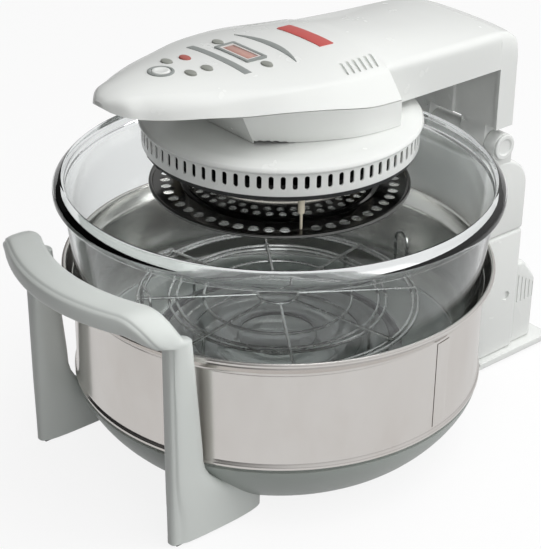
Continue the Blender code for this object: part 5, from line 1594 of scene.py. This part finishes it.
    def key(self, name: str, place: Point2, half: Point2, edge: Sequence[Point2],
            finish: object) -> None:
        """One key with a flange under the cover, on a body of its own.

        Args:
            name: The name of its node and body.
            place: Its middle.
            half: Half its length across and along.
            edge: The growth and rise of its upper edge's stations.
            finish: Its finish.
        """
        foot = self.low + self.height - self.key_shelf
        top = self.over(*place) + self.key_proud
        levels = [(self.key_flange, foot), (self.key_flange, foot + 0.0012), (0.0, foot + 0.0013)]
        levels += [(grow, top + rise) for grow, rise in edge]
        made = self.oval(name + "_moulded", place, half, levels)
        finished(made, finish, Body.LID, name)
        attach(made, name)

    def key_row(self) -> None:
        """The oval keys."""
        for name, place in self.keys.items():
            self.key(name, place, self.key_half, self.key_edge,
                     Paint.KEY_RED if name == self.red_key else Paint.KEY_GREY)

    def start_key(self) -> None:
        """The round start key and the ring round it."""
        r = self.start_radius
        self.key("start_button", (0.0, self.start_y), (r, r), self.start_edge, Paint.GLOSS_WHITE)
        top = self.over(0.0, self.start_y)
        ring = rounded([(r + out, top + up) for out, up in self.start_ring], 0.0006, 3, True)
        place = Matrix.Translation((0.0, self.start_y, 0.0))
        trim, = copies(lathe("ring", ring, 56, closed=True), {"start_ring_turned": place})
        finished(trim, Paint.DARK_GREY, Body.LID, "start_ring", slot="polished_steel")

    def oblong(self, inset: Point2, radius: float) -> List[Point2]:
        """A rounded oblong inside the display's outline.

        Args:
            inset: How far it lies inside, across and along.
            radius: Its corners' radius.

        Returns:
            The points.
        """
        half_w, half_d = self.display_half[0] - inset[0], self.display_half[1] - inset[1]
        line = []
        for sx, sy, first in ((1, 1, 0), (-1, 1, 90), (-1, -1, 180), (1, -1, 270)):
            centre = (sx * (half_w - radius), self.display_y + sy * (half_d - radius))
            line += arc(centre, radius, first, first + 90, 5)
        return line

    def display(self) -> None:
        """The display's frame, its pale inner border and its smoked window."""
        top = self.over(0.0, self.display_y)
        through = (top - OVERRUN, top + OVERRUN, "Z")
        outer = slab("display_frame_moulded", self.oblong((0.0, 0.0), 0.0012), top - 0.0010,
                     top + 0.0010, "Z")
        cut(outer, slab("room", self.oblong(self.display_room, 0.0008), *through))
        finished(bevelled(outer, 0.0003, 2), Paint.DARK_GREY, Body.LID, "display_frame")
        border = slab("display_border_moulded", self.oblong(self.border_inset, 0.0007), top - 0.0010,
                      top + 0.0006, "Z")
        cut(border, slab("room", self.oblong(self.border_room, 0.0008), *through))
        finished(border, Paint.PALE_TRIM, Body.LID, slot="dark_grey_trim")
        window = slab("display_window_moulded", self.oblong(self.window_inset, 0.0006), top - 0.0060,
                      top + 0.0003, "Z")
        finished(bevelled(window, 0.0002, 2), Paint.SMOKE, Body.LID, "display_module")

    def strip(self, name: str, node: str, edges: Callable[[float], Point2], half: float, spans: int,
              lift: float, finish: object, slot: str) -> None:
        """A thin inlay that follows the crown.

        Args:
            name: Its name.
            node: The node that it stands for.
            edges: Its front and rear edge for a place across.
            half: Half its length across.
            spans: The number of spans across.
            lift: How far it stands proud.
            finish: Its finish.
            slot: The record's slot.
        """
        rings = []
        for i in range(spans + 1):
            x = -half + 2 * half * i / spans
            front, rear = edges(x)
            inset = (rear - front) * self.inlay_edge
            line = [(front, -self.inlay_sink), (rear, -self.inlay_sink), (rear, lift * 0.6),
                    (rear - inset, lift), (front + inset, lift), (front, lift * 0.6)]
            rings.append([(x, y, self.over(x, y) + rise) for y, rise in line])
        finished(loft(name, rings), finish, Body.LID, node, slot=slot)

    def crescent(self, x: float) -> Point2:
        """The crescent's front and rear edge, which meet at both ends of a bow.

        Args:
            x: The place across.

        Returns:
            The two edges.
        """
        share = 1 - (x / self.crescent_half) ** 2
        middle = self.crescent_y - self.crescent_bow * (1 - share)
        reach = self.crescent_depth * share + self.crescent_tip
        return middle - reach, middle + reach

    def inlays(self) -> None:
        """The stripe, the crescent and the bare plate on the arm's top."""
        def straight(middle: float, depth: float) -> Callable[[float], Point2]:
            """Edges of an even strip."""
            return lambda x: (middle - depth / 2, middle + depth / 2)

        self.strip("panel_stripe_printed", "panel_stripe", straight(-0.0580, 0.0062), 0.0330, 40, 0.0004,
                   Paint.DARK_GREY, "dark_grey_trim")
        self.strip("panel_crescent_inlaid", "panel_crescent", self.crescent, 0.0348, 60, 0.0005,
                   Paint.DARK_GREY, "dark_grey_trim")
        self.strip("bare_plate_inlaid", "bare_badge_plate", straight(0.0220, 0.0130), 0.0240, 24, 0.0008,
                   Paint.PLATE_RED, "red_key_plastic")

    def leg_panel(self) -> None:
        """The set-back panel of the leg with its raised middle and the two lugs on the pin."""
        half = self.half - self.wall - SEAM * 3
        front = self.leg_front + self.setback
        low, high = self.leg_low + SEAM, self.low + 0.0022
        panel = block("leg_panel_moulded", (-half, front, low), (half, front + self.panel_sheet, high))
        rib = block("rib", (-self.rib, front - 0.003, low + SEAM),
                    (self.rib, front + 0.001, self.low - SEAM))
        cut(panel, bevelled(rib, 0.0010, 3), "UNION")
        top, rear = self.leg_low + self.lug_top, self.hinge.y + self.lug_half
        line = [(front, top), (front, self.leg_low + SEAM * 2)]
        line += arc((self.hinge.y, self.hinge.z), self.hinge.barrel, 165, 375, 30)
        line += [(rear, self.leg_low - 0.001), (rear, top)]
        for side in (-1, 1):
            xs = sorted((side * (self.hinge.hub + SEAM), side * (self.half - self.hinge.ear - SEAM * 2)))
            cut(panel, bevelled(slab("lug", line, *xs), 0.0007, 2, 50), "UNION")
            ring = arc((side * self.screw[0], self.screw[1]), self.screw_radius, 0, 345, 23)
            cut(panel, slab("screw", ring, front - OVERRUN, front + self.screw_depth, "Y"))
        cut(panel, slab("bore", self.hinge.bore(), -half * 2, half * 2))
        finished(panel, Paint.GLOSS_WHITE, Body.LID, "arm_leg_panel", limit=Limit.CRISP)


@dataclass
class Head:
    """The heater head: housing, dome, slotted ring, guard plate with posts, and lamp.

    The guard's rows are the circle's radius, the number of holes and their radius.
    """

    radius: float = 0.1030
    shoulder: float = 0.1055
    top: float = 0.2666
    crown_radius: float = 0.006
    band_low: float = 0.2432
    band_high: float = 0.2600
    sheet: float = 0.0012
    flange: float = 0.005
    slots: int = 78
    slot_width: float = 0.0035
    slot_height: float = 0.0100
    slot_edge: float = 0.0015
    guard: float = 0.0985
    guard_z: float = 0.2095
    guard_sheet: float = 0.0010
    guard_roll: float = 0.0016
    guard_step: float = 0.0740
    step_height: float = 0.0025
    rows: Tuple[Tuple[float, int, float], ...] = (
        (0.0860, 48, 0.0040), (0.0660, 44, 0.0030), (0.0580, 38, 0.0030))
    post_count: int = 3
    post_circle: float = 0.0860
    post_first: float = -30.2
    post_clear: float = 2.0
    rod_radius: float = 0.0010
    rod_top: float = 0.012
    post_radius: float = 0.0024
    housing_front: float = -0.0575
    housing_slant: float = 0.0255
    neck: float = 0.33
    neck_power: float = 1.8
    lamp_radius: float = 0.0680
    lamp_tube: float = 0.0045
    lamp_z: float = 0.2250
    lamp_gap: float = 24.0

    def build(self, arm: Arm) -> None:
        """Model the head.

        Args:
            arm: The arm above it, whose edge the housing meets.
        """
        self.housing(arm)
        self.dome()
        self.slotted_ring()
        self.guard_plate()
        self.posts()
        self.lamp()

    def skirt(self, arm: Arm, name: str, inset: float, overrun: float) -> Piece:
        """The housing's outer form, or the tool for its hollow.

        Args:
            arm: The arm above it.
            name: The form's name.
            inset: How far it lies inside the outer form.
            overrun: How far it reaches past both ends.

        Returns:
            The form.
        """
        front = self.housing_front - self.housing_slant
        rows = [arm.row(front)] + [row for row in arm.front_rows() if row[0] > front + 0.001]
        shifts = [inset] + [0.0] * (len(rows) - 2) + [-inset]
        rings = []
        for (y, w, z, *_), shift in zip(rows, shifts):
            ahead = max(0.0, (arm.belly_rear - y) / (arm.belly_rear - front))
            foot_y, head_y = y + self.housing_slant * ahead + shift, y + shift
            foot, head = w * (1 - self.neck * ahead ** self.neck_power) - inset, w - inset
            low, high = self.top + SEAM - overrun, z - SEAM * 2 + overrun
            rings.append([(-foot, foot_y, low), (foot, foot_y, low),
                          (head, head_y, high), (-head, head_y, high)])
        return loft(name, rings)

    def housing(self, arm: Arm) -> None:
        """The skirt between the arm and the head, its front wall slanted.

        Args:
            arm: The arm above it.
        """
        skirt = self.skirt(arm, "motor_housing_moulded", 0.0, 0.0)
        cut(skirt, self.skirt(arm, "hollow", arm.wall, OVERRUN))
        finished(skirt, Paint.GLOSS_WHITE, Body.LID, "motor_housing", limit=Limit.CRISP)

    def dome(self) -> None:
        """The shallow dome over the slotted ring."""
        low = self.band_high + SEAM
        edge = (self.top - low) * 0.5
        flat = self.shoulder - edge * 3
        outer = rounded([(self.crown_radius, self.top), (flat, self.top),
                         (self.shoulder - edge * 0.4, self.top - edge * 0.7),
                         (self.shoulder, low + edge * 0.6), (self.shoulder - 0.0006, low + 0.0003),
                         (self.radius, low)], 0.008, 8)
        inside = self.top - self.sheet * 1.4
        inner = [(self.radius - self.sheet * 2, low),
                 (self.shoulder - self.sheet * 3, self.top - edge - self.sheet),
                 (flat, inside), (self.crown_radius, inside)]
        dome = lathe("head_dome_moulded", outer + inner, 128, closed=True)
        finished(dome, Paint.GLOSS_WHITE, Body.LID, "head_dome", limit=Limit.SOFT)

    def slotted_ring(self) -> None:
        """The ring with its row of round-ended slots and its inward flange."""
        r, s = self.radius, self.sheet
        flange = r - self.flange
        low, high = self.band_low, self.band_high
        profile = rounded([(r - s, high), (r, high), (r, low), (flange, low), (flange, low + s),
                           (r - s, low + s)], 0.0005, 2, True)
        ring = lathe("head_ring_moulded", profile, self.slots * 2, closed=True)
        middle = self.band_high - self.slot_edge - self.slot_height / 2
        half, reach = self.slot_width / 2, self.slot_height / 2 - self.slot_width / 2
        line = arc((0.0, middle + reach), half, 0, 180, 8)
        line += arc((0.0, middle - reach), half, 180, 360, 8)
        turns = [2 * math.pi * (i + 0.5) / self.slots for i in range(self.slots)]
        moves = {f"slot_{i}": Matrix.Rotation(turn, 4, "Z") for i, turn in enumerate(turns)}
        cut(ring, joined("slots", copies(slab("slot", line, r - s * 3, r + s * 2), moves)))
        finished(ring, Paint.GLOSS_WHITE, Body.LID, "head_slot_ring")

    def guard_plate(self) -> None:
        """The stepped mirror plate with its rolled rim and rows of round holes."""
        z, t, h = self.guard_z, self.guard_sheet, self.step_height
        edge = self.guard - self.guard_roll
        upper = [(0.0, z + h), (self.guard_step - h, z + h), (self.guard_step, z),
                 (edge - self.guard_roll * 1.2, z)]
        under = [(edge - self.guard_roll, z - t), (self.guard_step - t / 2, z - t),
                 (self.guard_step - h - t / 2, z + h - t), (0.0, z + h - t)]
        profile = rounded(upper, 0.0012, 3) + arc((edge, z), self.guard_roll, 130, -110, 8)
        profile += rounded(under, 0.0012, 3)
        plate = lathe("guard_plate_pressed", profile, 132)
        tools = []
        for circle, count, radius in self.rows:
            for i in range(count):
                beside = 360.0 * i / count
                between = 360.0 / self.post_count
                near_post = min(beside % between, -beside % between) < self.post_clear
                if circle == self.post_circle and near_post:
                    continue
                turn = math.radians(beside + self.post_first)
                at = (circle * math.cos(turn), circle * math.sin(turn))
                tools.append(slab("hole", arc(at, radius, 0, 338, 15), z - OVERRUN, z + OVERRUN * 2, "Z"))
        cut(plate, joined("holes", tools))
        finished(plate, Paint.MIRROR, Body.LID, "guard_plate", slot="polished_steel")

    def posts(self) -> None:
        """The cream posts with their thin rods."""
        high, low = self.band_low + 0.0032, self.guard_z + SEAM
        rod, post = self.rod_radius, self.post_radius
        foot = low + self.rod_top
        line = rounded([(0.0, low), (rod, low), (rod, foot), (post - 0.0002, foot + 0.0004),
                        (post, foot + 0.0016), (post, high - 0.0006), (post - 0.0004, high),
                        (0.0, high)], 0.0004, 2)
        moves = {}
        for number in range(self.post_count):
            turn = math.radians(self.post_first + 360.0 / self.post_count * number)
            place = (self.post_circle * math.cos(turn), self.post_circle * math.sin(turn), 0.0)
            moves[f"guard_post_{number + 1}_turned"] = Matrix.Translation(place)
        for made in copies(lathe("post", line, 28), moves):
            finished(made, Paint.CERAMIC, Body.LID, made.name.replace("_turned", ""))

    def lamp(self) -> None:
        """The ring-shaped lamp."""
        half = self.lamp_gap / 2
        line = arc((0.0, 0.0), self.lamp_radius, 90 + half, 450 - half, 90)
        tube = wire("halogen_lamp_bent", [(x, y, self.lamp_z) for x, y in line], self.lamp_tube, False, 4)
        finished(tube, Paint.QUARTZ, Body.LID, "halogen_lamp")


# Stage

@dataclass
class Studio:
    """Floor, lights and camera.

    The camera's focal length, centre and middle are in the picture's pixels. floor_white is how much of a pure
    white the camera, a reflection and a look through glass see in the floor, and the lamps' rows are name,
    place, size and watts.
    """

    place: Point3 = (0.8370, -0.7398, 0.7234)
    azimuth: float = 49.41
    yaw: float = 0.007
    pitch: float = 0.49558
    roll: float = 0.012
    focal: float = 1615.4
    long_side: float = 549.0
    sensor: float = 36.0
    centre: Point2 = (268.08, 274.13)
    middle: Point2 = (270.5, 274.5)
    dark_side: Point3 = (-0.65, -0.76, 0.0)
    side_stops: Tuple[Point2, ...] = ((0.0, 1.30), (0.42, 1.0), (0.62, 0.50), (0.80, 0.10))
    height_stops: Tuple[Point2, ...] = ((0.0, 0.40), (0.46, 0.45), (0.60, 0.85), (1.0, 1.15))
    sky_strength: float = 0.60
    through_glass: float = 0.60
    floor_white: Tuple[float, float, float] = (0.86, 0.62, 0.74)
    card_place: Point3 = (-0.62, -0.72, 0.32)
    card_size: Point2 = (0.95, 0.62)
    card_turn: float = -40.5
    aim: Point3 = (0.0, 0.0, 0.16)
    lamps: Tuple[Tuple[str, Point3, Point2, float], ...] = (
        ("overhead_light", (0.5, 0.4, 2.2), (1.6, 1.6), 21.0),
        ("right_light", (1.6, 1.5, 1.2), (1.0, 1.2), 15.0),
        ("front_light", (1.5, -0.9, 1.0), (1.2, 1.2), 7.0))

    def camera(self) -> None:
        """Set the camera where the photograph was taken from."""
        bpy.ops.object.camera_add()
        camera = bpy.context.object
        camera.name = "view"
        camera.data.lens = self.focal * self.sensor / self.long_side
        camera.data.sensor_width = self.sensor
        camera.data.shift_x = (self.middle[0] - self.centre[0]) / self.long_side
        camera.data.shift_y = (self.centre[1] - self.middle[1]) / self.long_side
        camera.data.clip_start = 0.01
        turn, down = math.radians(self.azimuth) + self.yaw, self.pitch
        ahead = Vector((-math.sin(turn) * math.cos(down), math.cos(turn) * math.cos(down), -math.sin(down)))
        right = Vector((math.cos(turn), math.sin(turn), 0.0))
        up = right.cross(ahead)
        c, s = math.cos(self.roll), math.sin(self.roll)
        across, upright = c * right + s * up, -s * right + c * up
        pose = Matrix((across, upright, -ahead)).transposed().to_4x4()
        pose.translation = Vector(self.place)
        camera.matrix_world = pose
        bpy.context.scene.camera = camera

    def floor(self) -> None:
        """A wide pale floor that the camera sees as white, with the oven's shadow kept."""
        deselect()
        bpy.ops.mesh.primitive_plane_add(size=14.0, location=(0.0, 0.0, 0.0))
        floor = bpy.context.object
        floor.name = "floor"
        net = Net(bpy.data.materials.new("pale_floor"))
        cloud = net.noise(net.place(), 3.0, 2.0)
        camera, glossy, through = (net.node("ShaderNodeLightPath", {}, {}, f"Is {word} Ray")
                                   for word in ("Camera", "Glossy", "Transmission"))
        shade = net.blend(cloud, (0.30, 0.30, 0.30), (0.32, 0.32, 0.32))
        net.put("Base Color", net.blend(camera, shade, (0.90, 0.90, 0.90)))
        net.put("Roughness", 0.9)
        to_camera, to_gloss, to_glass = self.floor_white
        seen = net.maths("MAXIMUM", glossy * to_gloss, through * to_glass)
        seen = net.maths("MAXIMUM", camera * to_camera, seen)
        glow = net.node("ShaderNodeEmission", {}, {"Color": (1.0, 1.0, 1.0), "Strength": 1.0})
        mixed = net.node("ShaderNodeMixShader", {}, {0: seen, 1: Signal(net, net.shader.outputs[0]), 2: glow})
        net.feed(net.tree.nodes["Material Output"].inputs["Surface"], mixed)
        floor.data.materials.append(net.owner)
        floor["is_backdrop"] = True

    def card(self) -> None:
        """A black card beside the oven, out of the camera's sight, that darkens what faces it."""
        deselect()
        bpy.ops.mesh.primitive_plane_add(size=1.0, location=self.card_place)
        card = bpy.context.object
        card.name = "black_card"
        card.scale = (*self.card_size, 1.0)
        card.rotation_euler = (math.radians(90.0), 0.0, math.radians(self.card_turn))
        bpy.ops.object.transform_apply(location=True, rotation=True, scale=True)
        card.visible_camera = False
        card.visible_transmission = False
        net = Net(bpy.data.materials.new("black_cloth"))
        cloud = net.noise(net.place(), 30.0)
        net.put("Base Color", net.blend(cloud, (0.010, 0.010, 0.010), (0.016, 0.016, 0.016)))
        net.put("Roughness", 0.95)
        card.data.materials.append(net.owner)
        card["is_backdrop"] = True

    def world(self) -> None:
        """A pale surround: white to the camera, and for light a sky that darkens towards one side."""
        world = bpy.data.worlds.new("surround")
        bpy.context.scene.world = world
        net = Net(world)
        net.tree.nodes.clear()
        place = net.node("ShaderNodeTexCoord", {}, {}, "Generated")
        side = net.node("ShaderNodeVectorMath", {"operation": "DOT_PRODUCT"},
                        {0: place, 1: self.dark_side}, "Value")
        height = net.node("ShaderNodeSeparateXYZ", {}, {0: place}, "Z")
        levels = []
        for source, stops in ((side, self.side_stops), (height, self.height_stops)):
            lift = net.span(source, -1.0, 1.0, 0.0, 1.0)
            greys = [(at, (level, level, level)) for at, level in stops]
            levels.append(net.node("ShaderNodeValToRGB", {"stops": greys}, {0: lift}))
        both = net.node("ShaderNodeVectorMath", {"operation": "MULTIPLY"}, {0: levels[0], 1: levels[1]})
        sky = net.node("ShaderNodeBackground", {}, {0: both, 1: self.sky_strength})
        white = net.node("ShaderNodeBackground", {}, {0: (1.0, 1.0, 1.0), 1: 1.0})
        camera = net.node("ShaderNodeLightPath", {}, {}, "Is Camera Ray")
        through = net.node("ShaderNodeLightPath", {}, {}, "Is Transmission Ray")
        seen = net.maths("MAXIMUM", camera, through * self.through_glass)
        mixed = net.node("ShaderNodeMixShader", {}, {0: seen, 1: sky, 2: white})
        net.node("ShaderNodeOutputWorld", {}, {"Surface": mixed}, None)

    def lamp(self, name: str, place: Point3, size: Point2, power: float) -> None:
        """One soft light aimed at the oven.

        Args:
            name: Its name.
            place: Where it hangs.
            size: Its width and height.
            power: Its power in watts.
        """
        deselect()
        bpy.ops.object.light_add(type="AREA", location=place)
        light = bpy.context.object
        light.name = name
        light.data.shape = "RECTANGLE"
        light.data.size, light.data.size_y = size
        light.data.energy = power
        light.visible_glossy = False
        light.rotation_mode = "QUATERNION"
        light.rotation_quaternion = (Vector(self.aim) - Vector(place)).to_track_quat("-Z", "Y")

    def build(self) -> None:
        """Set up the stage."""
        self.camera()
        self.floor()
        self.world()
        self.card()
        for light in self.lamps:
            self.lamp(*light)
        bpy.context.scene.view_settings.view_transform = "Standard"


def dress_the_rest(frame: Dict[str, object]) -> None:
    """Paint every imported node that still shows.
    """
    slots = {part["node"]: part["material_slot"] for part in frame["record"]["subparts"]}
    for name, node in frame["nodes"].items():
        if node.hide_render:
            continue
        # Nodes inside the head get painted shade, near-black steel, in place of their slot's finish
        material = Paint.of(Paint.SHADED) if name in DIM_NODES else Paint.by_slot(slots[name])
        if not node.material_slots:
            node.data.materials.append(material)
        for slot in node.material_slots:
            slot.material = material
        LOG.info("%s: painted %s", name, material.name)


def main(frame: Dict[str, object], cad_box: Optional[Sequence[Sequence[float]]]) -> None:
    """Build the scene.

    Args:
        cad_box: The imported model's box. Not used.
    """
    logging.basicConfig(level=logging.INFO, format="%(name)s: %(message)s")
    Bowl().build()
    Stand().build()
    Handle().build()
    Column().build()
    arm = Arm()
    arm.build()
    Head().build(arm)
    dress_the_rest(frame)
    Studio().build()
    deselect()


if __name__ == "__main__":
    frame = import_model()
    main(frame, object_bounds())
